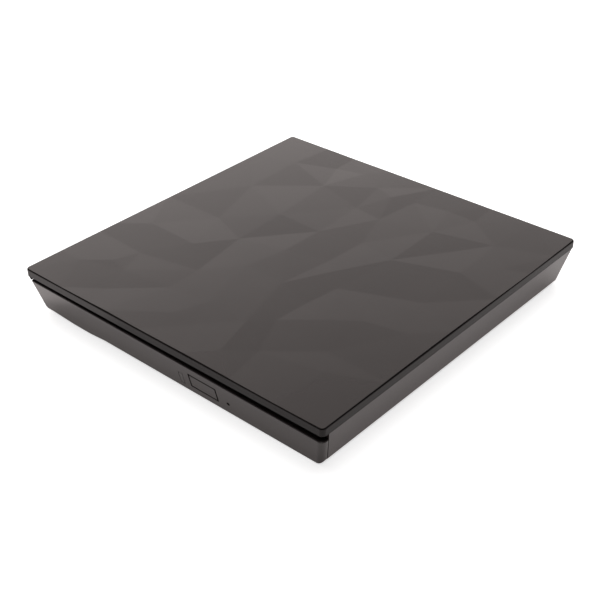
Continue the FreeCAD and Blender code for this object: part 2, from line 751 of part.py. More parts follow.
def case_holes():
    holes = [usb_opening()]
    for x, y in CASE_SCREWS:
        holes.append(rod(x, y, 0, HEAD_Z1, HEAD_R + HEAD_GAP))
        holes.append(rod(x, y, 0, BOSS_JOIN, SCREW_CORE + HEAD_GAP))
    for x, y in DRIVE_SCREWS:
        holes.append(rod(x, y, 0, MOUNT_HEAD_Z1, MOUNT_HEAD_R + HEAD_GAP))
        holes.append(rod(x, y, 0, DRIVE_Z, MOUNT_R + 0.2))
    for x, y in BRIDGE_SCREWS:
        holes.append(rod(x, y, FLOOR_Z, BRIDGE_Z, BRIDGE_CORE))
    for x, y in FEET:
        holes.append(rod(x, y, 0, FOOT_H + FOOT_SEAT, FOOT_R))
    half = HOOK_L / 2 + HOOK_GAP
    low = HOOK_STEP - HOOK_RAMP - 0.2
    for side in (-1, 1):
        for y in HOOK_YS:
            notch = box(HOOK_X1, HOOK_X1 + HOOK_REACH + HOOK_GAP / 2, y - half, y + half, low, HOOK_STEP)
            holes.append(mirrored(notch, side))
    return holes


# The open front: for the bezel's wrap and, above it, from a thin fin at the left end
def front_opening():
    depth = BEZEL_WRAP + BEZEL_SEAM
    rise = LID_W / 2 * math.tan(math.radians(BEZEL_TILT))
    fin_z = BEZEL_Z1 + rise + FIN_GAP
    low = front_zone(0, fin_z, depth)
    high = front_zone(fin_z - 0.01, LID_Z + 1, depth)
    fin = box(-LID_W, FIN_T - half_w(fin_z), -LID_D, LID_D, fin_z, LID_Z + 2)
    return fuse([low, high.cut(fin)])


def make_bottom_case():
    body = drafted_body(FOOT_H, LID_Z, 0.0, BODY_CORNER_R)
    body = body.makeFillet(BODY_BOTTOM_ROUND, level_edges(body, FOOT_H))
    room = drafted_body(FLOOR_Z, LID_Z, WALL, ROOM_CORNER_R)
    seam = box(-LID_W, LID_W, -LID_D, LID_D, LID_Z - SEAM_H, LID_Z)
    inner = half_w(LID_Z, SEAM_DEPTH)
    deep = half_d(LID_Z, SEAM_DEPTH)
    seam = seam.cut(box(-inner, inner, -deep, deep, LID_Z - SEAM_H, LID_Z))
    case = body.cut(room).cut(seam)
    case = case.cut(front_opening())
    case = fuse([case] + case_bosses())
    for hole in case_holes():
        case = case.cut(hole)
    return case


def make_rubber_feet():
    feet = []
    for x, y in FEET:
        foot = rod(x, y, 0, FOOT_H + FOOT_SEAT, FOOT_R)
        feet.append(foot.makeFillet(FOOT_ROUND, level_edges(foot, 0)))
    return group(feet)


def make_case_screws():
    screws = []
    for x, y in CASE_SCREWS:
        head = rod(x, y, HEAD_Z0, HEAD_Z1, HEAD_R).cut(cross_recess(x, y, HEAD_Z0, HEAD_R / 2, 0.7))
        screws.append(fuse([head, rod(x, y, HEAD_Z1 - 0.2, SCREW_TIP, SCREW_CORE)]))
    return group(screws)


def make_drive_screws():
    screws = []
    for x, y in DRIVE_SCREWS:
        head = rod(x, y, MOUNT_HEAD_Z0, MOUNT_HEAD_Z1, MOUNT_HEAD_R)
        head = head.cut(cross_recess(x, y, MOUNT_HEAD_Z0, MOUNT_HEAD_R / 2, 0.4))
        screws.append(fuse([head, rod(x, y, MOUNT_HEAD_Z1 - 0.1, PAN_FLOOR, MOUNT_R)]))
    return group(screws)


def make_foam_pads():
    pads = []
    for x in (-FOAM_X, FOAM_X):
        for y in FOAM_YS:
            pads.append(box(x - FOAM_HALF, x + FOAM_HALF, y - FOAM_HALF, y + FOAM_HALF, DRIVE_TOP, CEILING))
    return group(pads)


# Bridge board and its sockets

def make_bridge_board():
    board = box(BRIDGE_X0, BRIDGE_X1, BRIDGE_Y0, BRIDGE_Y1, BRIDGE_Z, BRIDGE_TOP)
    for x, y in BRIDGE_SCREWS:
        board = board.cut(rod(x, y, BRIDGE_Z, BRIDGE_TOP, BRIDGE_CORE + 0.2))
    return board


def make_bridge_screws():
    screws = []
    for x, y in BRIDGE_SCREWS:
        head = rod(x, y, BRIDGE_TOP, BRIDGE_TOP + 0.6, BRIDGE_HEAD_R)
        screws.append(fuse([head, rod(x, y, FLOOR_Z, BRIDGE_TOP + 0.1, BRIDGE_CORE)]))
    return group(screws)


# Chips in a row between the cable socket and the plug: width, depth, height
BRIDGE_CHIPS = [(6.0, 5.8, 1.0), (3.2, 2.5, 1.1), (2.0, 5.0, 0.8)] + 4 * [(0.9, 1.6, 0.5)]


def make_bridge_chips():
    x0 = USB_X + USB_W / 2
    free = SOCKET_X0 - x0 - sum(wide for wide, deep, high in BRIDGE_CHIPS)
    gap = free / (len(BRIDGE_CHIPS) + 1)
    mid = (BRIDGE_Y0 + BRIDGE_Y1) / 2
    chips = []
    for wide, deep, high in BRIDGE_CHIPS:
        x0 += gap
        chips.append(box(x0, x0 + wide, mid - deep / 2, mid + deep / 2, BRIDGE_TOP, BRIDGE_TOP + high))
        x0 += wide
    return group(chips)


def make_drive_socket():
    wall, mouth_d = 1.0, 3.0
    body = box(SOCKET_X0, SOCKET_X1, SOCKET_Y0, SOCKET_Y1, BOARD_TOP, SOCKET_TOP)
    mouth = box(SOCKET_X0 + wall, SOCKET_X1 - wall, SOCKET_Y1 - mouth_d, SOCKET_Y1,
                BOARD_TOP + wall, SOCKET_TOP - wall)
    return body.cut(mouth)


def make_bridge_plug():
    shoulder, inset, reach = 0.5, 1.3, 2.6
    body = box(SOCKET_X0 + shoulder, SOCKET_X1 - shoulder, SOCKET_Y1, SOCKET_Y1 + PLUG_D,
               BRIDGE_TOP, SOCKET_TOP)
    tongue = box(SOCKET_X0 + inset, SOCKET_X1 - inset, SOCKET_Y1 - reach, SOCKET_Y1 + 0.2,
                 BOARD_TOP + inset + 0.1, SOCKET_TOP - inset - 0.1)
    return fuse([body, tongue])


def make_usb_socket():
    x0, x1 = USB_X - USB_W / 2, USB_X + USB_W / 2
    top = BRIDGE_TOP + USB_H
    shell = box(x0, x1, USB_Y1 - USB_D, USB_Y1, BRIDGE_TOP, top)
    corner = 0.8
    in0, in1 = x0 + USB_WALL, x1 - USB_WALL
    low, high = BRIDGE_TOP + USB_WALL, top - USB_WALL
    points = [(in0, high), (in1, high), (in1, low + corner), (in1 - corner, low),
              (in0 + corner, low), (in0, low + corner)]
    return shell.cut(plate_xz(points, USB_Y1 - USB_D + corner, USB_Y1))


def make_usb_tongue():
    half = USB_W / 4
    z0 = BRIDGE_TOP + 1.1
    return box(USB_X - half, USB_X + half, USB_Y1 - USB_D + 0.8, USB_Y1 - 0.6, z0, z0 + 0.6)


# Drive housing

def make_drive_pan():
    half = DRIVE_HALF_W
    pan = box(-half, half, DRIVE_FRONT, DRIVE_BACK, DRIVE_Z, PLATE_Z)
    pan = pan.cut(box(-half + SHEET, half - SHEET, DRIVE_FRONT - 1, DRIVE_BACK - SHEET, PAN_FLOOR, DRIVE_TOP))
    tabs = []
    for side in (-1, 1):
        for y in TAB_YS:
            x1 = half - SHEET
            tab = box(x1 - TAB_W, x1, y - TAB_L / 2, y + TAB_L / 2, PLATE_Z - TAB_T, PLATE_Z)
            tabs.append(mirrored(tab, side))
    pan = fuse([pan] + tabs)
    for side in (-1, 1):
        for y in TAB_YS:
            pan = pan.cut(rod(side * (half - TAB_SCREW_INSET), y, PLATE_Z - TAB_T, PLATE_Z, TAB_SCREW_R))
    for x, y in DRIVE_SCREWS:
        pan = pan.cut(rod(x, y, DRIVE_Z, PAN_FLOOR, MOUNT_R))
    gap = 0.3
    return pan.cut(box(SOCKET_X0 - gap, SOCKET_X1 + gap, DRIVE_BACK - SHEET, DRIVE_BACK,
                       BOARD_TOP - gap, SOCKET_TOP + gap))


def make_drive_plate():
    half = DRIVE_HALF_W
    plate = box(-half, half, DRIVE_FRONT, DRIVE_BACK, PLATE_Z, DRIVE_TOP)
    for side in (-1, 1):
        for y in TAB_YS:
            plate = plate.cut(rod(side * (half - TAB_SCREW_INSET), y, PLATE_Z, DRIVE_TOP, TAB_SCREW_R + 0.2))
    return plate


def make_plate_screws():
    screws = []
    for side in (-1, 1):
        for y in TAB_YS:
            x = side * (DRIVE_HALF_W - TAB_SCREW_INSET)
            head = rod(x, y, DRIVE_TOP, DRIVE_TOP + TAB_HEAD_T, TAB_HEAD_R)
            screws.append(fuse([head, rod(x, y, PLATE_Z - TAB_T, DRIVE_TOP + 0.1, TAB_SCREW_R)]))
    return group(screws)


def make_striker_post():
    collar = rod(POST_X, POST_Y, PAN_FLOOR, PAN_FLOOR + 0.3, POST_R + POST_COLLAR)
    return fuse([collar, rod(POST_X, POST_Y, PAN_FLOOR, LATCH_Z1 + POST_GAP, POST_R)])


def make_main_board():
    inset = 2.0
    board = box(BOARD_X0, BOARD_X1, BOARD_Y0, BOARD_Y1, BOARD_Z, BOARD_TOP)
    spacers = []
    for x in (BOARD_X0 + inset, BOARD_X1 - inset):
        for y in (BOARD_Y0 + inset, BOARD_Y1 - inset):
            spacers.append(rod(x, y, PAN_FLOOR, BOARD_Z + 0.1, 1.2))
    return fuse([board] + spacers)


# Chips on the main board: from its left edge, from its front edge, width, depth, height
MAIN_CHIPS = [(8.0, 32.0, 12.0, 12.0, 1.0), (8.0, 14.0, 8.0, 8.0, 0.9), (20.0, 8.0, 6.0, 6.0, 0.9),
              (10.0, 51.0, 12.0, 5.0, 1.0)]
MAIN_CHIPS += [(23.5, 26.0 + 3.2 * n, 2.5, 1.6, 0.7) for n in range(5)]


def make_main_chips():
    chips = []
    for left, front, wide, deep, high in MAIN_CHIPS:
        x, y = BOARD_X0 + left, BOARD_Y0 + front
        chips.append(box(x, x + wide, y, y + deep, BOARD_TOP, BOARD_TOP + high))
    return group(chips)


# The flat cable lies on the pan, rises in front of the board and ends in a socket on it
CABLE_Y0 = BOARD_Y0 + CABLE_INSET
CABLE_Y1 = CABLE_Y0 + CABLE_W
CABLE_END_X = BOARD_X0 + 1.0


def make_cable_socket():
    return box(CABLE_END_X, CABLE_END_X + 2.6, CABLE_Y0 - 1, CABLE_Y1 + 1, BOARD_TOP, BOARD_TOP + 1.0)


def make_flat_cable():
    z0, z1 = PAN_FLOOR, PAN_FLOOR + CABLE_T
    x0 = BOARD_X0 - 0.7
    x1 = x0 + CABLE_T
    start = BOARD_X0 - CABLE_REACH
    top = BOARD_TOP + 0.4
    points = [(start, z0), (x1, z0), (x1, top), (CABLE_END_X, top), (CABLE_END_X, top + CABLE_T),
              (x0, top + CABLE_T), (x0, z1), (start, z1)]
    return plate_xz(points, CABLE_Y0, CABLE_Y1)


# Guides and rails

def make_guide(side):
    guide = box(GUIDE_X0, GUIDE_X1, GUIDE_FRONT, GUIDE_BACK, PAN_FLOOR, RAIL_Z1 + GUIDE_GAP + GUIDE_TOP_T)
    groove = box(GUIDE_X0 - 1, RAIL_X1 + GUIDE_GAP, GUIDE_FRONT, GUIDE_BACK,
                 RAIL_Z0 - GUIDE_GAP, RAIL_Z1 + GUIDE_GAP)
    return mirrored(guide.cut(groove), side)


def make_rail(side):
    rail = box(RAIL_X0, RAIL_X1, RAIL_FRONT, RAIL_BACK, RAIL_Z0, RAIL_Z1)
    groove = box(RAIL_X0 - 1, RAIL_X1 - RAIL_WEB, RAIL_FRONT, RAIL_BACK,
                 RAIL_Z0 + RAIL_FLANGE, RAIL_Z1 - RAIL_FLANGE)
    return mirrored(rail.cut(groove), side)


# Tray

def mech_outline(z0, z1):
    gap = POCKET_GAP
    return on_mech(box(FRAME_U0 - gap, FRAME_U1 + gap, -FRAME_V - gap, POCKET_V, z0, z1))


def disc_space(r, z0, z1):
    return rod(0, SPINDLE_Y, z0, z1, r)


# Hollows under the tray
REAR_RIB = 29.0
REAR_RIB_T = 2.0
LEFT_POCKET_W = 35.0
LEFT_POCKET_Y = 4.0
SWITCH_POCKET_LEFT = 9.3
SWITCH_POCKET_D = 17.0
FRONT_POCKET_D = 29.0
BACK_POCKET_D = 28.0
BACK_POCKET_SHIFT = 4.0


# Hollows in the underside of the tray, with ribs left between them
def tray_pockets():
    low = TRAY_Z - 0.1
    side = TRAY_HALF_W - SIDE_SKIN
    front = TRAY_FRONT + TRAY_FRONT_WALL
    back = TRAY_BACK - RIB_HALF
    rear_rib = SPINDLE_Y + REAR_RIB
    left_end = LEFT_POCKET_W - DISC_R
    switch_x0 = LIGHT_X - SWITCH_POCKET_LEFT
    switch_y1 = TRAY_FRONT + SWITCH_POCKET_D
    cuts = [mech_outline(low, RECESS_Z)]
    cuts.append(box(STEP_X + SIDE_SKIN, side, front, STEP_Y, low, UNDER_FLOOR))
    cuts.append(box(switch_x0, STEP_X + SIDE_SKIN + 1, front, switch_y1, low, UNDER_FLOOR))
    cuts.append(box(-side, -RIB_HALF, rear_rib, back, low, UNDER_FLOOR))
    cuts.append(box(RIB_HALF, STEP_X - RIB_HALF, rear_rib, back, low, UNDER_FLOOR))
    cuts.append(box(-side, left_end, SPINDLE_Y + LEFT_POCKET_Y, rear_rib - REAR_RIB_T, low, UNDER_FLOOR))
    step = box(STEP_X, TRAY_HALF_W + 1, STEP_Y, TRAY_BACK + 1, low, STEP_Z)
    tongue_zone = box(TRAY_HALF_W - TONGUE_ROOT, LID_W, -LID_D, LID_D, TONGUE_Z0 - 0.3, LID_D)
    cuts.append(step.cut(tongue_zone))
    return cuts


# Hollows in the corners outside the disc space, open below
def tray_corner_pockets():
    side = TRAY_HALF_W - SIDE_SKIN
    front = TRAY_FRONT + TRAY_FRONT_WALL
    front_end = TRAY_FRONT + FRONT_POCKET_D
    back_y0, back_y1 = TRAY_BACK - BACK_POCKET_D, TRAY_BACK - RIB_HALF
    half = DISC_R / 2
    cuts = []
    for x0, x1, y0, y1 in ((half, side, front, front_end), (-side, -half, front, front_end),
                           (-side, BACK_POCKET_SHIFT - half, back_y0, back_y1)):
        corner = box(x0, x1, y0, y1, TRAY_Z - 0.1, CORNER_SKIN_Z)
        cuts.append(corner.cut(disc_space(CORNER_R, 0, TOTAL_H)))
    return cuts


# Holes in the front wall for the button's stem, the light pipe and the pinhole
def tray_front_holes():
    y0, y1 = TRAY_FRONT - 1, TRAY_FRONT + 2 * TRAY_FRONT_WALL
    low = TRAY_Z + 0.5
    stem, pipe = STEM_W / 2 + 0.8, PIPE_W / 2 + 0.5
    return [box(BUTTON_X - stem, BUTTON_X + stem, y0, y1, low, UNDER_FLOOR),
            box(LIGHT_X - pipe, LIGHT_X + pipe, y0, y1, low, UNDER_FLOOR),
            rod_y(PINHOLE_X, y0, y1, PINHOLE_Z - 0.15, PINHOLE_R + 0.25)]


def make_tray():
    tray = box(-TRAY_HALF_W, TRAY_HALF_W, TRAY_FRONT, TRAY_BACK, TRAY_Z, TRAY_TOP)
    rear = [edge for edge in upright_edges(tray, RECESS_DEPTH) if edge.BoundBox.YMin > 0]
    tray = tray.makeFillet(TRAY_CORNER_R, rear)
    root = TRAY_HALF_W - TONGUE_ROOT
    y0 = TRAY_FRONT + TONGUE_INSET
    tongues = [box(root, TONGUE_X, y0, NOTCH_Y, TONGUE_Z0, TONGUE_Z1),
               box(-TONGUE_X, -root, y0, TRAY_BACK - 3, TONGUE_Z0, TONGUE_Z1)]
    tray = fuse([tray] + tongues)
    for cutter in tray_pockets() + tray_corner_pockets() + tray_front_holes():
        tray = tray.cut(cutter)
    tray = tray.cut(disc_space(RECESS_R, RECESS_Z, TOTAL_H))
    through = mech_outline(TRAY_Z, RECESS_Z + 0.1)
    tray = tray.cut(through.common(disc_space(COVER_R - 1, 0, TOTAL_H)))
    tray = tray.cut(box(NOTCH_X, LID_W, NOTCH_Y, LID_D, 0, TOTAL_H))
    left, right, back, over = 2.2, 6.3, 9.6, 0.5
    tail_room = box(tail_x() - left, tail_x() + right, TRAY_FRONT + TRAY_FRONT_WALL, TAIL_Y + back,
                    TRAY_Z, UNDER_FLOOR + over)
    tray = tray.cut(tail_room)
    for u, v in SIDE_MOUNTS:
        tray = tray.cut(on_mech(rod(u, v, UNDER_FLOOR, RECESS_Z, COVER_SCREW_R)))
    return tray


# Bezel and what is set into it

def corner_rounding(side):
    r = BEZEL_LOW_CORNER_R
    slope = math.atan(DRAFT)
    zc = BEZEL_Z0 + r
    xc = half_w(zc) - r / math.cos(slope)
    side_point = V(xc + r * math.cos(slope), -LID_D, zc - r * math.sin(slope))
    low_point = V(xc, -LID_D, BEZEL_Z0)
    turn = (slope + math.pi / 2) / 2
    mid = V(xc + r * math.cos(turn), -LID_D, zc - r * math.sin(turn))
    far = half_w(LID_Z) + 3
    edges = [Part.Arc(low_point, mid, side_point).toShape()]
    corners = [side_point, V(far, -LID_D, side_point.z), V(far, -LID_D, BEZEL_Z0 - 3),
               V(xc, -LID_D, BEZEL_Z0 - 3), low_point]
    for a, b in zip(corners, corners[1:]):
        edges.append(Part.makeLine(a, b))
    cutter = Part.Face(Part.Wire(edges)).extrude(V(0, LID_D, 0))
    return mirrored(cutter, side)


# A low lip under the bezel's left part
def grip_lip():
    x0 = -half_w(BEZEL_Z0) + GRIP_START
    x1 = x0 + GRIP_RAMP_IN
    x2 = x1 + GRIP_FLAT
    x3 = x2 + GRIP_RAMP_OUT
    z0 = BEZEL_Z0
    low, high = z0 - 1, z0 + 1
    points = [(x0, z0), (x1, z0 - GRIP_DEPTH), (x2, z0 - GRIP_DEPTH), (x3, z0),
              (x3, z0 + 0.5), (x0, z0 + 0.5)]
    zone = plate_yz([(-half_d(low), low), (-half_d(low) + BEZEL_T, low),
                     (-half_d(high) + BEZEL_T, high), (-half_d(high), high)], x0 - 1, x3 + 1)
    return plate_xz(points, -LID_D / 2, -LID_D / 2 + 10).common(zone)


# Lugs that join the bezel to the tray's front face
def bezel_lugs():
    core = drafted_body(BEZEL_Z0, BEZEL_Z1, BEZEL_T / 2, BEZEL_INNER_R)
    z0 = TRAY_Z + LUG_RISE
    lugs = []
    for x in LUG_XS:
        lugs.append(box(x - LUG_W / 2, x + LUG_W / 2, -LID_D / 2, TRAY_FRONT, z0, z0 + LUG_H).common(core))
    return lugs


def make_tray_bezel():
    right = drafted_body(BEZEL_Z0, BEZEL_Z1, 0.0, BEZEL_CORNER_R)
    left = drafted_body(BEZEL_Z0, BEZEL_Z1, 0.0, BEZEL_LEFT_CORNER_R)
    half = box(-LID_W, 0, -LID_D, LID_D, 0, TOTAL_H)
    outer = fuse([right.cut(half), left.common(half)])
    outer = outer.makeFillet(BEZEL_TOP_ROUND, level_edges(outer, BEZEL_Z1))
    inner = drafted_body(BEZEL_Z0, BEZEL_Z1, BEZEL_T, BEZEL_INNER_R)
    bezel = outer.cut(inner).common(front_zone(BEZEL_Z0, BEZEL_Z1, BEZEL_WRAP))
    for side in (-1, 1):
        bezel = bezel.cut(corner_rounding(side))
    bezel = fuse([bezel, grip_lip()] + bezel_lugs())
    half_x, half_z = BUTTON_W / 2, BUTTON_H / 2
    far, near = -LID_D, TRAY_FRONT
    bezel = bezel.cut(box(BUTTON_X - half_x, BUTTON_X + half_x, far, near,
                          BUTTON_Z - half_z, BUTTON_Z + half_z))
    bezel = bezel.cut(light_bar(0.0))
    bezel = bezel.cut(rod_y(PINHOLE_X, far, near, PINHOLE_Z, PINHOLE_R))
    return askew(bezel)


def light_bar(gap):
    half_x, half_z = LIGHT_W / 2 - gap, LIGHT_H / 2 - gap
    bar = box(LIGHT_X - half_x, LIGHT_X + half_x, -LID_D / 2, TRAY_FRONT - LIGHT_BACK,
              LIGHT_Z - half_z, LIGHT_Z + half_z)
    return bar.common(drafted_body(BEZEL_Z0, BEZEL_Z1, 0.0, BEZEL_CORNER_R))


def make_light_pipe():
    z0 = SWITCH_TOP + PIPE_RISE
    half = PIPE_W / 2
    stem = box(LIGHT_X - half, LIGHT_X + half, TRAY_FRONT - LIGHT_BACK - 0.2, LED_Y0, z0, z0 + PIPE_H)
    return askew(fuse([light_bar(LIGHT_GAP), stem]))


def make_eject_button():
    half_x = BUTTON_W / 2 - BUTTON_GAP
    half_z = BUTTON_H / 2 - BUTTON_GAP
    back = TRAY_FRONT - BUTTON_BACK
    cap = box(BUTTON_X - half_x, BUTTON_X + half_x, -LID_D / 2, back, BUTTON_Z - half_z, BUTTON_Z + half_z)
    cap = cap.common(drafted_body(BEZEL_Z0, BEZEL_Z1, 0.0, BEZEL_CORNER_R))
    z0 = SWITCH_TOP + STEM_RISE
    stem = box(BUTTON_X - STEM_W / 2, BUTTON_X + STEM_W / 2, back - 0.2, SWITCH_Y0 - 0.9, z0, z0 + STEM_H)
    return askew(fuse([cap, stem]))


# The small board behind the bezel
SWITCH_X0 = LIGHT_X - 4.3
SWITCH_X1 = BUTTON_X + 6.25
SWITCH_Y1 = SWITCH_Y0 + SWITCH_BOARD_D


def make_switch_board():
    return box(SWITCH_X0, SWITCH_X1, SWITCH_Y0, SWITCH_Y1, SWITCH_BOARD_Z, SWITCH_TOP)


def make_switch_pads():
    pads = []
    for x in (SWITCH_X0 + 1.5, SWITCH_X1 - 1.5):
        pads.append(rod(x, SWITCH_Y1 - 2.0, SWITCH_TOP, UNDER_FLOOR, 1.2))
    return group(pads)


def make_eject_switch():
    front = SWITCH_Y0 + 0.2
    body = box(BUTTON_X - 2.2, BUTTON_X + 2.2, front, front + 3.0, SWITCH_TOP, SWITCH_TOP + SWITCH_H)
    z0 = SWITCH_TOP + STEM_RISE - 0.25
    plunger = box(BUTTON_X - 0.8, BUTTON_X + 0.8, front - 0.3, front + 0.1, z0, z0 + STEM_H + 0.1)
    return fuse([body, plunger])


def make_status_led():
    half = LED_W / 2
    top = SWITCH_TOP + PIPE_RISE + PIPE_H
    return box(LIGHT_X - half, LIGHT_X + half, LED_Y0, LED_Y0 + LED_D, SWITCH_TOP, top)


# Latch

def make_latch_pivot():
    pin = rod(PIVOT_X, PIVOT_Y, LATCH_Z0 - 0.4, CORNER_SKIN_Z, PIVOT_R)
    return fuse([pin, rod(PIVOT_X, PIVOT_Y, LATCH_Z0 - 0.6, LATCH_Z0 - 0.3, PIVOT_R + 0.9)])


# The lever's tail ends behind the pinhole
def tail_x():
    return PINHOLE_X - 1.4


def make_latch_lever():
    arm_x0 = PIVOT_X - 0.2
    arm_x1 = arm_x0 + ARM_W
    end_y = POST_Y + POST_R + FINGER_L + 0.4
    finger_x = POST_X + POST_R + FINGER_GAP
    tail = tail_x()
    hub = rod(PIVOT_X, PIVOT_Y, LATCH_Z0, LATCH_Z1, LATCH_HUB_R)
    arm = box(arm_x0, arm_x1, PIVOT_Y, end_y, LATCH_Z0, LATCH_Z1)
    finger = plate_xy([(finger_x, end_y - FINGER_L), (arm_x1, end_y - FINGER_L),
                       (arm_x1, end_y), (arm_x0 - 1.0, end_y)], LATCH_Z0, LATCH_Z1)
    beam = plate_xy([(PIVOT_X, PIVOT_Y - 2.0), (PIVOT_X, PIVOT_Y + 1.6), (tail + TAIL_W, TAIL_Y + 1.4),
                     (tail, TAIL_Y + 1.4), (tail, TAIL_Y)], LATCH_Z0, LATCH_Z1)
    tab = box(tail, tail + TAIL_W, TAIL_Y + 0.5, TAIL_Y + 1.3, LATCH_Z0, LATCH_Z0 + TAIL_TAB_H)
    lever = fuse([hub, arm, finger, beam, tab])
    return lever.cut(rod(PIVOT_X, PIVOT_Y, LATCH_Z0, LATCH_Z1, LATCH_BORE))


def make_latch_solenoid():
    x0, x1 = PIVOT_X + 3.5, TRAY_HALF_W - SIDE_SKIN - 0.4
    y0, y1 = TRAY_FRONT + TRAY_FRONT_WALL + 1.0, PIVOT_Y + 5.5
    case = box(x0, x1, y0, y1, LATCH_Z0 + 0.4, CORNER_SKIN_Z)
    coil = rod_y((x0 + x1) / 2, y1, y1 + 3.0, RECESS_Z, 2.0)
    return fuse([case, coil])


# Traverse mechanism, drawn along U and V

def make_traverse_frame():
    plate = box(FRAME_U0, FRAME_U1, -FRAME_V, FRAME_V, FRAME_Z0, FRAME_Z1)
    plate = plate.cut(box(SLOT_U0, SLOT_U1, -SLOT_V, SLOT_V, FRAME_Z0, FRAME_Z1))
    plate = plate.cut(box(MOTOR_U0 - 0.5, MOTOR_U1 - 0.3, SLOT_V - 0.8, FRAME_V, FRAME_Z0, FRAME_Z1))
    top = ROD_Z + ROD_BLOCK_TOP
    blocks = []
    for v in (-ROD_V, ROD_V):
        v0, v1 = v - ROD_BLOCK_HALF, v + ROD_BLOCK_HALF
        blocks.append(box(ROD_U0 - ROD_BLOCK, ROD_U0, v0, v1, FRAME_Z0, top))
        blocks.append(box(ROD_U1, ROD_U1 + ROD_BLOCK, v0, v1, FRAME_Z0, top))
    blocks.append(box(FEED_U1 + FEED_GAP, FEED_U1 + FEED_GAP + 1.5, SLOT_V, FRAME_V, FRAME_Z0, top))
    return on_mech(fuse([plate] + blocks))


def make_guide_rods():
    rods = [rod_x(ROD_U0, ROD_U1, v, ROD_Z, ROD_R) for v in (-ROD_V, ROD_V)]
    return on_mech(group(rods))


def make_dampers():
    dampers = []
    for u, v in BACK_MOUNTS:
        damper = rod(u, v, FRAME_Z1, RECESS_Z, DAMPER_R)
        dampers.append(damper.cut(rod(u, v, UNDER_FLOOR - 0.5, RECESS_Z, COVER_SCREW_R)))
    for u, v in END_MOUNTS:
        dampers.append(rod(u, v, FRAME_Z1, RECESS_Z, END_DAMPER_R))
    return on_mech(group(dampers))


def make_mechanism_cover():
    z0, z1 = RECESS_Z, COVER_TOP
    slot = PICKUP_V + PICKUP_ROOM
    motor = MOTOR_R + 0.4
    sheet = box(FRAME_U0 - 2, FRAME_U1 + 1, -COVER_V, COVER_V, z0, z1)
    sheet = sheet.cut(rod(0, 0, z0, z1, ROTOR_R + 1.1))
    sheet = sheet.cut(box(ROTOR_R - 2.3, SLOT_U1 - 1, -slot, slot, z0, z1))
    sheet = sheet.cut(box(MOTOR_U0 - MOTOR_ROOM, MOTOR_U1 + MOTOR_ROOM,
                          FEED_V - motor, FEED_V + motor, z0, z1))
    for u, v in BACK_MOUNTS + SIDE_MOUNTS:
        sheet = sheet.cut(rod(u, v, z0, z1, COVER_SCREW_R + 0.2))
    reach = disc_space(COVER_R, z0, z1)
    reach = reach.common(box(-TRAY_HALF_W + 0.3, STEP_X + 20, -LID_D, LID_D, z0, z1))
    return on_mech(sheet).common(reach)


def make_cover_screws():
    screws = []
    for u, v in BACK_MOUNTS + SIDE_MOUNTS:
        screws.append(fuse([rod(u, v, COVER_TOP, COVER_TOP + 0.3, 1.3),
                            rod(u, v, UNDER_FLOOR + 0.1, COVER_TOP + 0.1, COVER_SCREW_R)]))
    return on_mech(group(screws))


def make_base_cover():
    sheet = box(-TRAY_HALF_W + 0.4, STEP_X - 0.2, TRAY_FRONT + 0.6, TRAY_BACK - 0.6, BASE_Z, TRAY_Z)
    motor = MOTOR_R + 0.4
    gap = box(MOTOR_U0 - MOTOR_ROOM, MOTOR_U1 + MOTOR_ROOM, FEED_V - motor, FEED_V + motor, BASE_Z, TRAY_Z)
    return sheet.cut(on_mech(gap))


def make_spindle_stator():
    base = rod(0, 0, FRAME_Z1, FRAME_Z1 + 0.2, BELL_R)
    tube = rod(0, 0, FRAME_Z1, BELL_CEILING - 0.3, 2.4)
    ring = rod(0, 0, FRAME_Z1 + 0.1, BELL_CEILING - 0.7, 4.5)
    teeth = []
    for n in range(TEETH):
        arm = box(3.5, TOOTH_R - 0.6, -0.7, 0.7, FRAME_Z1 + 0.9, BELL_CEILING - 1.0)
        shoe = box(TOOTH_R - 1.2, TOOTH_R, -2.0, 2.0, FRAME_Z1 + 0.6, BELL_CEILING - 0.7)
        teeth.append(turned(fuse([arm, shoe]), n * 360 / TEETH))
    stator = fuse([base, tube, ring] + teeth)
    stator = stator.cut(rod(0, 0, FRAME_Z1 + 0.1, BELL_CEILING, BEARING_R))
    return on_mech(stator)


def make_turntable():
    bell = rod(0, 0, ROTOR_Z, ROTOR_TOP, ROTOR_R)
    bell = bell.makeFillet(BELL_ROUND, level_edges(bell, ROTOR_TOP))
    bell = bell.cut(rod(0, 0, ROTOR_Z, BELL_CEILING, BELL_R))
    hub = rod(0, 0, ROTOR_TOP - 0.2, HUB_TOP, HUB_R)
    hub = hub.makeChamfer(HUB_CHAMFER, level_edges(hub, HUB_TOP))
    shaft = rod(0, 0, FRAME_Z1 + 0.4, ROTOR_TOP - 0.4, SHAFT_R)
    rotor = fuse([bell, hub, shaft])
    half = PAWL_W / 2 + 0.3
    inner = HUB_R + PAWL_REACH - PAWL_L - 0.9
    for n in range(PAWLS):
        pocket = box(inner, HUB_R + 1, -half, half, PAWL_Z0 - 0.25, PAWL_Z1 + 0.2)
        rotor = rotor.cut(turned(pocket, n * 360 / PAWLS))
    return on_mech(rotor)


def make_rotor_magnet():
    z0 = ROTOR_Z + 0.3
    return on_mech(rod(0, 0, z0, BELL_CEILING, BELL_R).cut(rod(0, 0, z0, BELL_CEILING, MAGNET_R)))


def make_turntable_ring():
    ring = rod(0, 0, ROTOR_TOP, DISC_Z, ROTOR_R - RING_INSET)
    return on_mech(ring.cut(rod(0, 0, ROTOR_TOP, DISC_Z, HUB_R + RING_GAP)))


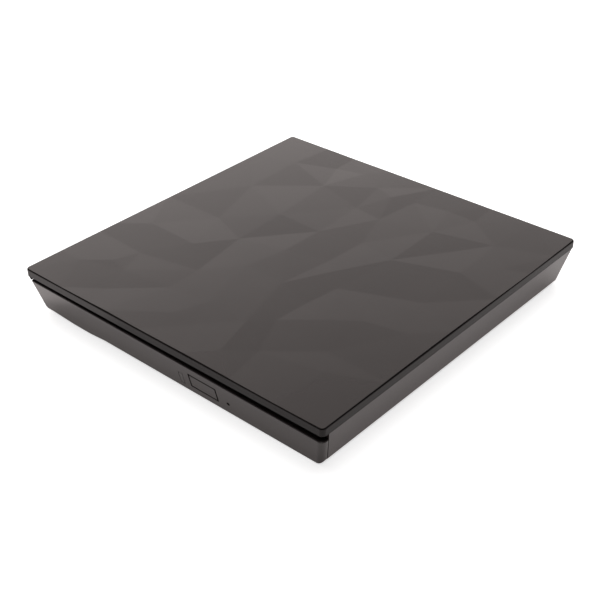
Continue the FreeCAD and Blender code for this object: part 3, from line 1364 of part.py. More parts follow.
def make_hub_pawl(n):
    tip = HUB_R + PAWL_REACH
    pawl = box(tip - PAWL_L, tip, -PAWL_W / 2, PAWL_W / 2, PAWL_Z0, PAWL_Z1)
    outer = [edge for edge in pawl.Edges if edge.BoundBox.XMin > tip - 0.01]
    level = [edge for edge in outer if edge.BoundBox.YLength > 1]
    pawl = pawl.makeFillet(PAWL_ROUND, level)
    return on_mech(turned(pawl, n * 360 / PAWLS))


def make_pickup():
    back, ahead = PICKUP_U - PICKUP_BACK, PICKUP_U + PICKUP_AHEAD
    fork0, fork1 = PICKUP_U - 3.0, PICKUP_U + 1.0
    root, tip = PICKUP_V - 0.5, ROD_V + 1.6
    sleeve_l = 4.0
    parts = [box(back, ahead, -PICKUP_V, PICKUP_V, PICKUP_Z0, PICKUP_Z1)]
    for u in (back, ahead - sleeve_l):
        parts.append(box(u, u + sleeve_l, -ROD_V - SLEEVE_WALL, -root, PICKUP_Z0, SLEEVE_TOP))
    parts.append(box(fork0, fork1, root, tip, PICKUP_Z0, PICKUP_Z0 + 0.3))
    parts.append(box(fork0, fork1, root, tip, FORK_Z, SLEEVE_TOP))
    parts.append(box(fork0, fork1, PICKUP_V - 1.5, PICKUP_V, PICKUP_Z0, SLEEVE_TOP))
    parts.append(box(back + 2, back + 5, PICKUP_V - 3, PICKUP_V, PICKUP_Z1 - 0.1, FORK_Z))
    pickup = fuse(parts)
    pickup = pickup.cut(rod_x(back - 1, ahead + 1, -ROD_V, ROD_Z, SLEEVE_BORE))
    return on_mech(pickup)


def make_screw_follower():
    back = PICKUP_U - PICKUP_BACK
    return on_mech(box(back + 2, back + 5, PICKUP_V - 3, FEED_V + 0.9, FORK_Z, SLEEVE_TOP))


def make_actuator_cover():
    u0, u1, v1 = PICKUP_U - 5.6, PICKUP_U + 4.6, 6.2
    wall, top_t = 0.4, 0.2
    top = SLEEVE_TOP + 0.1
    cover = box(u0, u1, -v1, v1, PICKUP_Z1, top)
    cover = cover.cut(box(u0 + wall, u1 - wall, wall - v1, v1 - wall, PICKUP_Z1, top - top_t))
    return on_mech(cover.cut(box(PICKUP_U - 3.7, PICKUP_U + 3.7, -4.4, 4.4, PICKUP_Z1, top)))


# The lens sits in a square holder that floats just under the cover's window
LENS_R = 2.0
LENS_Z = SLEEVE_TOP - 0.1
LENS_TOP = SLEEVE_TOP + 0.6


def make_lens_holder():
    holder = box(PICKUP_U - 3.0, PICKUP_U + 3.0, -3.6, 3.6, LENS_Z - 0.2, LENS_Z + 0.4)
    return on_mech(holder.cut(rod(PICKUP_U, 0, LENS_Z, LENS_Z + 0.4, LENS_R)))


def make_lens():
    lens = rod(PICKUP_U, 0, LENS_Z, LENS_TOP, LENS_R)
    return on_mech(lens.makeFillet(0.28, level_edges(lens, LENS_TOP)))


# A feed screw with plain rings for its thread
def make_feed_screw():
    rings = []
    u = FEED_U0 + 1.2
    while u + FEED_RING < FEED_U1 - 0.6:
        rings.append(rod_x(u, u + FEED_RING, FEED_V, ROD_Z, FEED_R))
        u += FEED_STEP
    return on_mech(fuse([rod_x(FEED_U0, FEED_U1, FEED_V, ROD_Z, FEED_ROOT)] + rings))


def make_feed_motor():
    body = rod_x(MOTOR_U0, MOTOR_U1 - 0.4, FEED_V, ROD_Z, MOTOR_R)
    flange = box(MOTOR_U1 - FLANGE_T, MOTOR_U1, FEED_V - MOTOR_R, FRAME_V, FRAME_Z1, ROD_Z + 1.3)
    return on_mech(fuse([body, flange]))


NODES = {
    "top_cover": make_top_cover,
    "bottom_case": make_bottom_case,
    "rubber_feet": make_rubber_feet,
    "case_screws": make_case_screws,
    "drive_screws": make_drive_screws,
    "foam_pads": make_foam_pads,
    "bridge_board": make_bridge_board,
    "bridge_screws": make_bridge_screws,
    "bridge_chips": make_bridge_chips,
    "bridge_plug": make_bridge_plug,
    "drive_socket": make_drive_socket,
    "usb_socket": make_usb_socket,
    "usb_tongue": make_usb_tongue,
    "drive_pan": make_drive_pan,
    "drive_plate": make_drive_plate,
    "plate_screws": make_plate_screws,
    "striker_post": make_striker_post,
    "main_board": make_main_board,
    "main_board_chips": make_main_chips,
    "cable_socket": make_cable_socket,
    "flat_cable": make_flat_cable,
    "guide_left": lambda: make_guide(-1),
    "guide_right": lambda: make_guide(1),
    "rail_left": lambda: make_rail(-1),
    "rail_right": lambda: make_rail(1),
    "tray": make_tray,
    "tray_bezel": make_tray_bezel,
    "light_pipe": make_light_pipe,
    "eject_button": make_eject_button,
    "switch_board": make_switch_board,
    "switch_pads": make_switch_pads,
    "eject_switch": make_eject_switch,
    "status_led": make_status_led,
    "latch_pivot": make_latch_pivot,
    "latch_lever": make_latch_lever,
    "latch_solenoid": make_latch_solenoid,
    "traverse_frame": make_traverse_frame,
    "guide_rods": make_guide_rods,
    "dampers": make_dampers,
    "mechanism_cover": make_mechanism_cover,
    "cover_screws": make_cover_screws,
    "base_cover": make_base_cover,
    "spindle_stator": make_spindle_stator,
    "turntable": make_turntable,
    "rotor_magnet": make_rotor_magnet,
    "turntable_ring": make_turntable_ring,
    "hub_pawl_1": lambda: make_hub_pawl(0),
    "hub_pawl_2": lambda: make_hub_pawl(1),
    "hub_pawl_3": lambda: make_hub_pawl(2),
    "pickup": make_pickup,
    "screw_follower": make_screw_follower,
    "actuator_cover": make_actuator_cover,
    "lens_holder": make_lens_holder,
    "objective_lens": make_lens,
    "feed_screw": make_feed_screw,
    "feed_motor": make_feed_motor,
}

os.makedirs("parts", exist_ok=True)
for name, make in NODES.items():
    shape = make()
    shape.exportStep("parts/%s.step" % name)
    print("%-18s solids %2d  valid %s" % (name, len(shape.Solids), shape.isValid()))
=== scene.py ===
import math

import bpy
from mathutils import Matrix, Vector


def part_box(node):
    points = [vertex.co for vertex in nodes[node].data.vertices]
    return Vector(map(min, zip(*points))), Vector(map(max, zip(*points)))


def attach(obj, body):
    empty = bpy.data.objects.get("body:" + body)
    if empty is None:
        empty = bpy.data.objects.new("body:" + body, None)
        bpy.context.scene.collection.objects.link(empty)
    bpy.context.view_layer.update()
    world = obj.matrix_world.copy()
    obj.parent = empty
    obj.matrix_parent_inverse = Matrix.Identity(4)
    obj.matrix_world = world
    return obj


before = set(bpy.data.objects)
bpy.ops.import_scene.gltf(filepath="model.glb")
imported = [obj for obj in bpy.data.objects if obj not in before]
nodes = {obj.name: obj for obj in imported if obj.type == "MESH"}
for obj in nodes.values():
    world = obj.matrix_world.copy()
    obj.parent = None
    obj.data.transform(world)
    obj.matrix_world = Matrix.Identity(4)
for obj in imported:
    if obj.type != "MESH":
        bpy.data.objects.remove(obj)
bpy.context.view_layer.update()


# Camera, found from the lid's corners in the photo

LENS = 68.4
CAMERA_AZ = math.radians(41.67)
CAMERA_EL = math.radians(33.16)
CAMERA_ROLL = math.radians(-0.78)
CAMERA_DIST = 0.38895
CAMERA_AIM = Vector((0.01937, -0.02457, 0.0188))
SENSOR_WIDTH = 36.0
CLIP_START, CLIP_END = 0.01, 20.0


def make_camera():
    back = Vector((math.sin(CAMERA_AZ) * math.cos(CAMERA_EL),
                   -math.cos(CAMERA_AZ) * math.cos(CAMERA_EL),
                   math.sin(CAMERA_EL)))
    right = (-back).cross(Vector((0, 0, 1))).normalized()
    up = right.cross(-back)
    turned_right = right * math.cos(CAMERA_ROLL) + up * math.sin(CAMERA_ROLL)
    turned_up = up * math.cos(CAMERA_ROLL) - right * math.sin(CAMERA_ROLL)
    place = CAMERA_AIM + back * CAMERA_DIST
    data = bpy.data.cameras.new("camera")
    data.lens = LENS
    data.sensor_width = SENSOR_WIDTH
    data.clip_start, data.clip_end = CLIP_START, CLIP_END
    camera = bpy.data.objects.new("camera", data)
    bpy.context.scene.collection.objects.link(camera)
    camera.matrix_world = Matrix((
        (turned_right.x, turned_up.x, back.x, place.x),
        (turned_right.y, turned_up.y, back.y, place.y),
        (turned_right.z, turned_up.z, back.z, place.z),
        (0, 0, 0, 1)))
    bpy.context.scene.camera = camera


# Light and floor

# How bright the room is by height, leaning a little to the right, and where the dark part begins
SKY_STEPS = ((0.40, 0.80), (0.50, 0.55), (0.58, 0.43), (0.66, 0.295))
SKY_LEAN = (0.19, 0.165, 1.0)
SKY_TINT = (1.0, 0.925, 0.905)
SKY_STRENGTH = 2.0
ROOM_COLOUR = (0.025, 0.024, 0.024, 1)
ROOM_SIDE = (-0.66, 0.75, 0.0)
ROOM_ENDS = (0.12, 0.45)
# Lights: name, place, where they point, size and power
LIGHTS = (("high", (0.0, 0.0, 1.4), (0, 0, 0), (1.0, 1.0), 5.5),
          ("left_edge", (-0.85, 0.05, 1.2), (0, 0, 0), (0.5, 0.3), 1.6),
          ("back_edge", (0.05, 0.85, 1.2), (0, 0, 0), (0.5, 0.3), 1.6),
          ("corner", (0.30, -0.45, 0.65), (0.05, -0.05, 0), (0.05, 0.05), 0.35))


def set_ramp(ramp, marks, tint=(1.0, 1.0, 1.0)):
    steps = ramp.color_ramp.elements
    steps[0].position, steps[1].position = marks[0][0], marks[-1][0]
    between = [steps.new(at) for at, level in marks[1:-1]]
    for step, (at, level) in zip([steps[0]] + between + [steps[-1]], marks):
        step.color = [level * c for c in tint] + [1]


def make_world():
    world = bpy.data.worlds.new("studio")
    bpy.context.scene.world = world
    world.use_nodes = True
    tree = world.node_tree
    tree.nodes.clear()
    coords = tree.nodes.new("ShaderNodeTexCoord")
    height = tree.nodes.new("ShaderNodeVectorMath")
    height.operation = "DOT_PRODUCT"
    height.inputs[1].default_value = SKY_LEAN
    behind = tree.nodes.new("ShaderNodeVectorMath")
    behind.operation = "DOT_PRODUCT"
    behind.inputs[1].default_value = ROOM_SIDE
    share = tree.nodes.new("ShaderNodeMapRange")
    share.inputs["From Min"].default_value, share.inputs["From Max"].default_value = ROOM_ENDS
    room = tree.nodes.new("ShaderNodeMix")
    room.data_type = "RGBA"
    room.inputs[6].default_value = ROOM_COLOUR
    ramp = tree.nodes.new("ShaderNodeValToRGB")
    soft = tree.nodes.new("ShaderNodeBackground")
    white = tree.nodes.new("ShaderNodeBackground")
    rays = tree.nodes.new("ShaderNodeLightPath")
    mix = tree.nodes.new("ShaderNodeMixShader")
    out = tree.nodes.new("ShaderNodeOutputWorld")
    set_ramp(ramp, SKY_STEPS, SKY_TINT)
    soft.inputs["Strength"].default_value = SKY_STRENGTH
    white.inputs["Color"].default_value = (1, 1, 1, 1)
    white.inputs["Strength"].default_value = 1.0
    tree.links.new(coords.outputs["Generated"], height.inputs[0])
    tree.links.new(height.outputs["Value"], ramp.inputs["Fac"])
    tree.links.new(coords.outputs["Generated"], behind.inputs[0])
    tree.links.new(behind.outputs["Value"], share.inputs["Value"])
    tree.links.new(share.outputs["Result"], room.inputs[0])
    tree.links.new(ramp.outputs["Color"], room.inputs[7])
    tree.links.new(room.outputs[2], soft.inputs["Color"])
    tree.links.new(rays.outputs["Is Camera Ray"], mix.inputs[0])
    tree.links.new(soft.outputs[0], mix.inputs[1])
    tree.links.new(white.outputs[0], mix.inputs[2])
    tree.links.new(mix.outputs[0], out.inputs["Surface"])


def area_light(name, place, aim, size, power):
    data = bpy.data.lights.new(name, "AREA")
    data.shape = "RECTANGLE"
    data.size, data.size_y = size
    data.energy = power
    light = bpy.data.objects.new(name, data)
    bpy.context.scene.collection.objects.link(light)
    light.location = place
    light.rotation_euler = (Vector(aim) - Vector(place)).to_track_quat("-Z", "Y").to_euler()


# The floor, what camera rays and glossy rays get from it, and a painted light patch before the left end
# that only glossy rays get
FLOOR_HALF = 3.0
FLOOR_COLOUR = (0.92, 0.92, 0.92, 1)
FLOOR_ROUGH = 0.9
FLOOR_GLOW = 0.72
GLOSS_GLOW = 0.32
PATCH_GLOW = 0.4
PATCH_SLANT = (-0.375, -1.0, 0.0)
PATCH_EDGE = (0.095, 0.100)
PATCH_ENDS = (-0.052, -0.034)
GLOW_WARM = (1.0, 0.90, 0.88, 1)


# Painted light: a pool of extra glow on the floor before the left end, which shows only in reflections
def painted_light_patch(tree):
    coords = tree.nodes.new("ShaderNodeTexCoord")
    split = tree.nodes.new("ShaderNodeSeparateXYZ")
    tree.links.new(coords.outputs["Object"], split.inputs[0])
    slant = tree.nodes.new("ShaderNodeVectorMath")
    slant.operation = "DOT_PRODUCT"
    slant.inputs[1].default_value = PATCH_SLANT
    tree.links.new(coords.outputs["Object"], slant.inputs[0])
    shares = []
    masks = ((slant.outputs["Value"], PATCH_EDGE, (0, 1)), (split.outputs["X"], PATCH_ENDS, (1, 0)))
    for value, ends, levels in masks:
        share = tree.nodes.new("ShaderNodeMapRange")
        share.interpolation_type = "SMOOTHSTEP"
        share.inputs["From Min"].default_value, share.inputs["From Max"].default_value = ends
        share.inputs["To Min"].default_value, share.inputs["To Max"].default_value = levels
        tree.links.new(value, share.inputs["Value"])
        shares.append(share.outputs["Result"])
    both = tree.nodes.new("ShaderNodeMath")
    both.operation = "MULTIPLY"
    tree.links.new(shares[0], both.inputs[0])
    tree.links.new(shares[1], both.inputs[1])
    level = tree.nodes.new("ShaderNodeMath")
    level.operation = "MULTIPLY_ADD"
    tree.links.new(both.outputs[0], level.inputs[0])
    level.inputs[1].default_value = PATCH_GLOW
    level.inputs[2].default_value = GLOSS_GLOW
    return level.outputs[0]


def make_floor():
    mesh = bpy.data.meshes.new("floor")
    corners = [(x * FLOOR_HALF, y * FLOOR_HALF, 0) for x, y in ((-1, -1), (1, -1), (1, 1), (-1, 1))]
    mesh.from_pydata(corners, [], [(0, 1, 2, 3)])
    floor = bpy.data.objects.new("floor", mesh)
    bpy.context.scene.collection.objects.link(floor)
    mat = bpy.data.materials.new("floor")
    mat.use_nodes = True
    tree = mat.node_tree
    shader = tree.nodes["Principled BSDF"]
    shader.inputs["Base Color"].default_value = FLOOR_COLOUR
    shader.inputs["Roughness"].default_value = FLOOR_ROUGH
    rays = tree.nodes.new("ShaderNodeLightPath")
    seen = tree.nodes.new("ShaderNodeMath")
    seen.operation = "MULTIPLY"
    seen.inputs[1].default_value = FLOOR_GLOW
    tree.links.new(rays.outputs["Is Camera Ray"], seen.inputs[0])
    glow = tree.nodes.new("ShaderNodeMath")
    glow.operation = "MULTIPLY_ADD"
    tree.links.new(rays.outputs["Is Glossy Ray"], glow.inputs[0])
    tree.links.new(painted_light_patch(tree), glow.inputs[1])
    tree.links.new(seen.outputs[0], glow.inputs[2])
    tree.links.new(glow.outputs[0], shader.inputs["Emission Strength"])
    tint = tree.nodes.new("ShaderNodeMix")
    tint.data_type = "RGBA"
    tint.inputs[6].default_value = (1, 1, 1, 1)
    tint.inputs[7].default_value = GLOW_WARM
    tree.links.new(rays.outputs["Is Glossy Ray"], tint.inputs[0])
    tree.links.new(tint.outputs[2], shader.inputs["Emission Color"])
    mesh.materials.append(mat)


# Materials

# How much of the gloss and of the own colour is left where the surface faces up by this much; the rest
# of the colour is painted shade
EDGE_GLOSS_AND_SHADE_LEVELS = ((0.10, 0.42), (0.28, 0.42), (0.45, 0.12), (0.85, 0.12), (0.985, 1.0))
# How dark the painted shade on the sides and rounded edge is, as a share of the colour
EDGE_PAINTED_SHADE = 0.25
LID_COLOUR = (0.024, 0.0195, 0.0185)
GLOSS = 0.5
WARM_GLOSS = (1.0, 0.955, 0.945, 1)
# How much lighter or darker the blotches are, and how deep the grain goes, in metres
PLASTIC_LIGHTER, METAL_DARKER = 1.18, 0.82
BRUSH_DEPTH, RUBBER_DEPTH, TRACK_DEPTH, FILM_DEPTH = 0.000004, 0.00004, 0.00003, 0.00001
# Board tracks: length, pitch and the gap between them, in metres
TRACK_LENGTH, TRACK_PITCH, TRACK_GAP = 0.0021, 0.0007, 0.00013


class Mat:
    """A node material with helpers that add its layers."""

    def __init__(self, name):
        self.mat = bpy.data.materials.new(name)
        self.mat.use_nodes = True
        self.tree = self.mat.node_tree
        self.shader = self.tree.nodes["Principled BSDF"]
        self.coords = self.tree.nodes.new("ShaderNodeTexCoord")
        self.base = None

    def node(self, kind, **values):
        made = self.tree.nodes.new(kind)
        for key, value in values.items():
            if hasattr(made, key):
                setattr(made, key, value)
            else:
                made.inputs[key].default_value = value
        return made

    def link(self, a, b):
        self.tree.links.new(a, b)

    def scaled(self, scale):
        mapping = self.node("ShaderNodeMapping")
        mapping.inputs["Scale"].default_value = scale
        self.link(self.coords.outputs["Object"], mapping.inputs["Vector"])
        return mapping.outputs["Vector"]

    def noise(self, scale, detail=3.0, rough=0.5, stretch=(1, 1, 1)):
        made = self.node("ShaderNodeTexNoise", Scale=scale, Detail=detail, Roughness=rough)
        self.link(self.scaled(stretch), made.inputs["Vector"])
        return made.outputs["Fac"]

    def spread(self, value, low, high, from_low=0.3, from_high=0.7):
        made = self.node("ShaderNodeMapRange")
        made.inputs["From Min"].default_value = from_low
        made.inputs["From Max"].default_value = from_high
        made.inputs["To Min"].default_value = low
        made.inputs["To Max"].default_value = high
        self.link(value, made.inputs["Value"])
        return made.outputs["Result"]

    def math(self, kind, a, b):
        made = self.node("ShaderNodeMath", operation=kind)
        for socket, value in zip(made.inputs, (a, b)):
            if isinstance(value, (int, float)):
                socket.default_value = value
            else:
                self.link(value, socket)
        return made.outputs[0]

    def blend(self, share, a, b):
        made = self.node("ShaderNodeMix", data_type="RGBA")
        for socket, value in ((made.inputs[6], a), (made.inputs[7], b)):
            if isinstance(value, tuple):
                socket.default_value = value + (1,)
            else:
                self.link(value, socket)
        self.link(share, made.inputs[0])
        return made.outputs[2]

    def colour(self, value):
        self.link(value, self.shader.inputs["Base Color"])

    def roughness(self, value):
        self.link(value, self.shader.inputs["Roughness"])

    def bump(self, value, depth, strength):
        made = self.node("ShaderNodeBump", Strength=strength, Distance=depth)
        self.link(value, made.inputs["Height"])
        self.link(made.outputs["Normal"], self.shader.inputs["Normal"])

    def put_on(self, *names):
        for name in names:
            mesh = nodes[name].data
            mesh.materials.clear()
            mesh.materials.append(self.mat)


def plastic(name, colour, rough, grain, grain_depth, smudge, specular=GLOSS):
    m = Mat(name)
    blotch = m.noise(38.0, 2.0)
    lighter = tuple(min(1.0, c * PLASTIC_LIGHTER) for c in colour)
    m.base = m.blend(m.spread(blotch, 0.0, 1.0), colour, lighter)
    m.colour(m.base)
    wipe = m.noise(16.0, 4.0, 0.6, (1.0, 0.35, 1.0))
    fine = m.noise(grain, 2.0)
    base = m.spread(wipe, rough - smudge / 2, rough + smudge / 2)
    m.roughness(m.math("ADD", base, m.spread(fine, -0.02, 0.02)))
    m.bump(fine, grain_depth, 0.6)
    m.shader.inputs["Specular IOR Level"].default_value = specular
    return m


def dull_sides_painted_shade(m, colour, specular):
    """Duller sides, with painted shade darkening the sides and the rounded edge, on a piece whose top
    faces up.
    """
    split = m.node("ShaderNodeSeparateXYZ")
    m.link(m.coords.outputs["Normal"], split.inputs[0])
    ramp = m.node("ShaderNodeValToRGB")
    set_ramp(ramp, EDGE_GLOSS_AND_SHADE_LEVELS)
    m.link(split.outputs["Z"], ramp.inputs["Fac"])
    # Painted shade: the sides and the rounded edge get a darker colour by which way they face
    m.colour(m.blend(ramp.outputs["Color"], tuple(c * EDGE_PAINTED_SHADE for c in colour), m.base))
    m.link(m.math("MULTIPLY", ramp.outputs["Color"], specular), m.shader.inputs["Specular IOR Level"])


def metal(name, colour, rough, brush=(1, 30, 1)):
    m = Mat(name)
    lines = m.noise(220.0, 3.0, 0.6, brush)
    dull = m.noise(60.0, 3.0)
    darker = tuple(c * METAL_DARKER for c in colour)
    m.colour(m.blend(m.spread(dull, 0.0, 1.0), darker, colour))
    m.roughness(m.math("ADD", m.spread(lines, rough - 0.06, rough + 0.06), m.spread(dull, -0.04, 0.04)))
    m.bump(lines, BRUSH_DEPTH, 0.5)
    m.shader.inputs["Metallic"].default_value = 1.0
    return m


def rubber(name, colour, rough=0.8, grain=900.0):
    m = Mat(name)
    fine = m.noise(grain, 3.0)
    dust = m.noise(90.0, 4.0, 0.65)
    pale = tuple(min(1.0, c * 2.2 + 0.01) for c in colour)
    m.colour(m.blend(m.spread(dust, 0.0, 0.6, 0.5, 0.8), colour, pale))
    m.roughness(m.spread(fine, rough - 0.08, rough + 0.06))
    m.bump(fine, RUBBER_DEPTH, 0.7)
    return m


def board(name):
    m = Mat(name)
    tracks = m.node("ShaderNodeTexBrick", Scale=1.0)
    tracks.inputs["Brick Width"].default_value = TRACK_LENGTH
    tracks.inputs["Row Height"].default_value = TRACK_PITCH
    tracks.inputs["Mortar Size"].default_value = TRACK_GAP
    m.link(m.coords.outputs["Object"], tracks.inputs["Vector"])
    patch = m.noise(140.0, 2.0)
    mask = m.math("MULTIPLY", tracks.outputs["Fac"], m.spread(patch, 0.0, 1.0, 0.45, 0.55))
    m.colour(m.blend(mask, (0.012, 0.11, 0.045), (0.035, 0.22, 0.09)))
    m.roughness(m.spread(patch, 0.28, 0.4))
    m.bump(mask, TRACK_DEPTH, 0.6)
    return m


def make_materials():
    lid = plastic("lid_black", LID_COLOUR, 0.21, 2600.0, 0.000002, 0.04)
    # Painted shade on the lid's sides and rounded top edge
    dull_sides_painted_shade(lid, LID_COLOUR, GLOSS)
    lid.put_on("top_cover")
    case = plastic("case_black", (0.024, 0.0185, 0.0175), 0.2, 2600.0, 0.000002, 0.05)
    case.put_on("bottom_case")
    bezel = plastic("bezel_black", (0.023, 0.0190, 0.0182), 0.19, 2600.0, 0.000002, 0.05)
    bezel.put_on("tray_bezel", "eject_button")
    for warm in (case, bezel):
        warm.shader.inputs["Specular Tint"].default_value = WARM_GLOSS
    window = plastic("window_smoked", (0.05, 0.047, 0.044), 0.16, 1500.0, 0.000002, 0.04)
    window.put_on("light_pipe")
    tray = plastic("tray_black", (0.030, 0.030, 0.031), 0.5, 3200.0, 0.00003, 0.08)
    tray.put_on("tray")
    inner = plastic("inner_black", (0.036, 0.036, 0.038), 0.55, 2400.0, 0.00002, 0.08)
    inner.put_on("guide_left", "guide_right", "lens_holder", "switch_pads")
    pale = plastic("acetal_white", (0.70, 0.68, 0.63), 0.38, 1200.0, 0.00001, 0.08)
    pale.put_on("latch_lever", "hub_pawl_1", "hub_pawl_2", "hub_pawl_3", "cable_socket")
    lamp = plastic("lamp_clear", (0.72, 0.74, 0.66), 0.12, 1500.0, 0.000002, 0.04)
    lamp.put_on("status_led")
    film = plastic("cable_film", (0.62, 0.60, 0.54), 0.3, 1500.0, 0.000004, 0.08)
    film.put_on("flat_cable")
    chip = plastic("chip_black", (0.020, 0.020, 0.022), 0.45, 4000.0, 0.00002, 0.06)
    chip.put_on("bridge_chips", "bridge_plug", "drive_socket", "usb_tongue")
    chip.put_on("main_board_chips", "eject_switch")
    board("board_green").put_on("bridge_board", "main_board", "switch_board")
    rubber("foot_rubber", (0.022, 0.022, 0.023)).put_on("rubber_feet")
    rubber("damper_rubber", (0.02, 0.02, 0.02), 0.65).put_on("dampers")
    rubber("ring_rubber", (0.075, 0.075, 0.08), 0.75, 2500.0).put_on("turntable_ring")
    rubber("foam_grey", (0.05, 0.05, 0.055), 0.95, 1500.0).put_on("foam_pads")
    metal("zinc_sheet", (0.60, 0.61, 0.62), 0.34).put_on("drive_pan", "drive_plate", "base_cover")
    steel = metal("screw_plated", (0.42, 0.42, 0.44), 0.3)
    steel.put_on("case_screws", "drive_screws", "bridge_screws", "plate_screws", "cover_screws")
    polished = metal("rod_polished", (0.72, 0.72, 0.74), 0.14)
    polished.put_on("guide_rods", "feed_screw", "striker_post", "latch_pivot")
    polished.put_on("rail_left", "rail_right", "screw_follower", "usb_socket")
    metal("frame_pressed", (0.52, 0.53, 0.54), 0.38).put_on("traverse_frame", "actuator_cover")
    metal("motor_turned", (0.62, 0.63, 0.64), 0.26).put_on("turntable", "feed_motor")
    metal("pickup_cast", (0.46, 0.47, 0.49), 0.42).put_on("pickup")
    coil = metal("copper_wire", (0.72, 0.34, 0.16), 0.32, (1, 1, 30))
    coil.put_on("spindle_stator", "latch_solenoid")
    metal("magnet_grey", (0.20, 0.20, 0.21), 0.5).put_on("rotor_magnet")
    coat = plastic("coated_sheet", (0.032, 0.032, 0.033), 0.42, 2200.0, 0.00001, 0.08)
    coat.put_on("mechanism_cover")
    glass = plastic("lens_coated", (0.05, 0.10, 0.22), 0.05, 1500.0, 0.0000005, 0.02, 0.8)
    glass.put_on("objective_lens")
    brass = metal("gold_plated", (0.78, 0.60, 0.28), 0.28)
    return {"steel": steel, "inner": inner, "brass": brass, "coil": coil, "coat": coat, "case": case}


# Detail pieces, with sizes in millimetres

MM = 0.001
SPINDLE = sum(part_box("turntable"), Vector()) / 2
MECH_ANGLE = math.radians(225)
MECH = Matrix.Translation((SPINDLE.x, SPINDLE.y, 0)) @ Matrix.Rotation(MECH_ANGLE, 4, "Z")
IN_PLACE = Matrix.Identity(4)

# Screw caps: radius, height, rounding, and reach and half width of the cross
CAP_R, CAP_T, CAP_ROUND = 1.25, 0.18, 0.05
CAP_CROSS = (0.7, 0.14)
# Hub cap: radii, with heights above the hub
HUB_CAP = ((0.05, -0.05), (0.7, -0.02), (0.95, 0.16), (1.6, 0.2),
           (3.3, 0.2), (3.7, 0.14), (3.85, 0.0), (3.85, -0.1))
# Pickup screws, behind the cover's middle and beside it
PICKUP_SCREW_U, PICKUP_SCREW_V = 7.0, 4.2
PICKUP_SCREW_R, PICKUP_SCREW_T, PICKUP_SCREW_ROUND = 0.75, 0.3, 0.06
PICKUP_SCREW_CROSS = (0.45, 0.1)
# Focus coils, on both ends of the lens holder
COIL_U, COIL_HALF, COIL_IN, COIL_OUT = 2.6, 0.22, 0.4, 2.6
COIL_SINK, COIL_RISE, COIL_ROUND = 0.05, 0.12, 0.04
# The pickup's flat cable, along the mechanism line and across it
FLEX_U, FLEX_V = (17.0, 58.0), (-5.5, 4.5)
FLEX_HOLE_U, FLEX_HOLES_V, FLEX_HOLE_R = 2.0, (-4.0, 3.0), 0.5
FLEX_GAP, FLEX_T = 0.02, 0.1
# Pressed beads on the mechanism cover: start, end, place across the line, half width
BEADS = ((16.0, 50.0, 12.3, 0.55), (4.0, 50.0, -12.3, 0.55),
         (-2.0, 30.0, -19.2, 0.45), (18.0, 30.0, 19.2, 0.45))
BEAD_SINK, BEAD_RISE, BEAD_ROUND = 0.1, 0.16, 0.1
# The feed motor's end cap: its place, and its radii with places along the motor
MOTOR_CAP_U, MOTOR_CAP_V, MOTOR_CAP_DROP = -5.0, 15.6, 1.9
MOTOR_CAP = ((0.5, 0.0), (0.5, -0.3), (0.9, -0.3), (1.5, 0.0), (1.96, 0.12), (1.96, 2.2), (1.88, 2.3))
# USB contacts
CONTACTS, CONTACT_STEP, CONTACT_HALF = 5, 0.65, 0.18
CONTACT_INSET, CONTACT_END, CONTACT_T, CONTACT_ROUND = 0.3, 0.2, 0.06, 0.02
# Collars round the feet, on the case's underside
COLLAR_R, COLLAR_BORE = 6.0, 5.15
COLLAR_RISE, COLLAR_LOW, COLLAR_HIGH, COLLAR_ROUND = 1.2, 0.25, 0.05, 0.1


def finish_piece(name, mesh, place, material, body):
    piece = bpy.data.objects.new(name, mesh)
    bpy.context.scene.collection.objects.link(piece)
    piece.matrix_world = place
    mesh.materials.clear()
    mesh.materials.append(material.mat)
    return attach(piece, body)


def circle(x, y, r, count):
    turn = 2 * math.pi / count
    return [(x + r * math.cos(i * turn), y + r * math.sin(i * turn)) for i in range(count)]


def cross(x, y, reach, half):
    quarter = [(reach, -half), (reach, half), (half, half)]
    points = []
    for c, s in ((1, 0), (0, 1), (-1, 0), (0, -1)):
        points += [(x + a * c - b * s, y + a * s + b * c) for a, b in quarter]
    return points


def long_hole(u0, u1, v, r, count=10):
    turn = math.pi / count
    ends = [(u1 - r, i * turn - math.pi / 2) for i in range(count + 1)]
    ends += [(u0 + r, i * turn + math.pi / 2) for i in range(count + 1)]
    return [(u + r * math.cos(a), v + r * math.sin(a)) for u, a in ends]


def box_outline(u0, u1, v0, v1):
    return [(u0, v0), (u1, v0), (u1, v1), (u0, v1)]


def plates(name, outlines, z0, z1, bevel, place, material, body):
    """Flat pieces in millimetres with rounded edges; an outline inside another is a hole."""
    curve = bpy.data.curves.new(name, "CURVE")
    curve.dimensions = "2D"
    curve.fill_mode = "BOTH"
    curve.extrude = ((z1 - z0) / 2 - bevel) * MM
    curve.bevel_depth = bevel * MM
    curve.bevel_resolution = 2
    curve.offset = -bevel * MM
    for points in outlines:
        spline = curve.splines.new("POLY")
        spline.points.add(len(points) - 1)
        for point, (x, y) in zip(spline.points, points):
            point.co = (x * MM, y * MM, 0, 1)
        spline.use_cyclic_u = True
    shape = bpy.data.objects.new(name + "_curve", curve)
    mesh = bpy.data.meshes.new_from_object(shape)
    mesh.name = name
    bpy.data.objects.remove(shape)
    bpy.data.curves.remove(curve)
    mesh.transform(Matrix.Translation((0, 0, (z0 + z1) / 2 * MM)))
    return finish_piece(name, mesh, place, material, body)


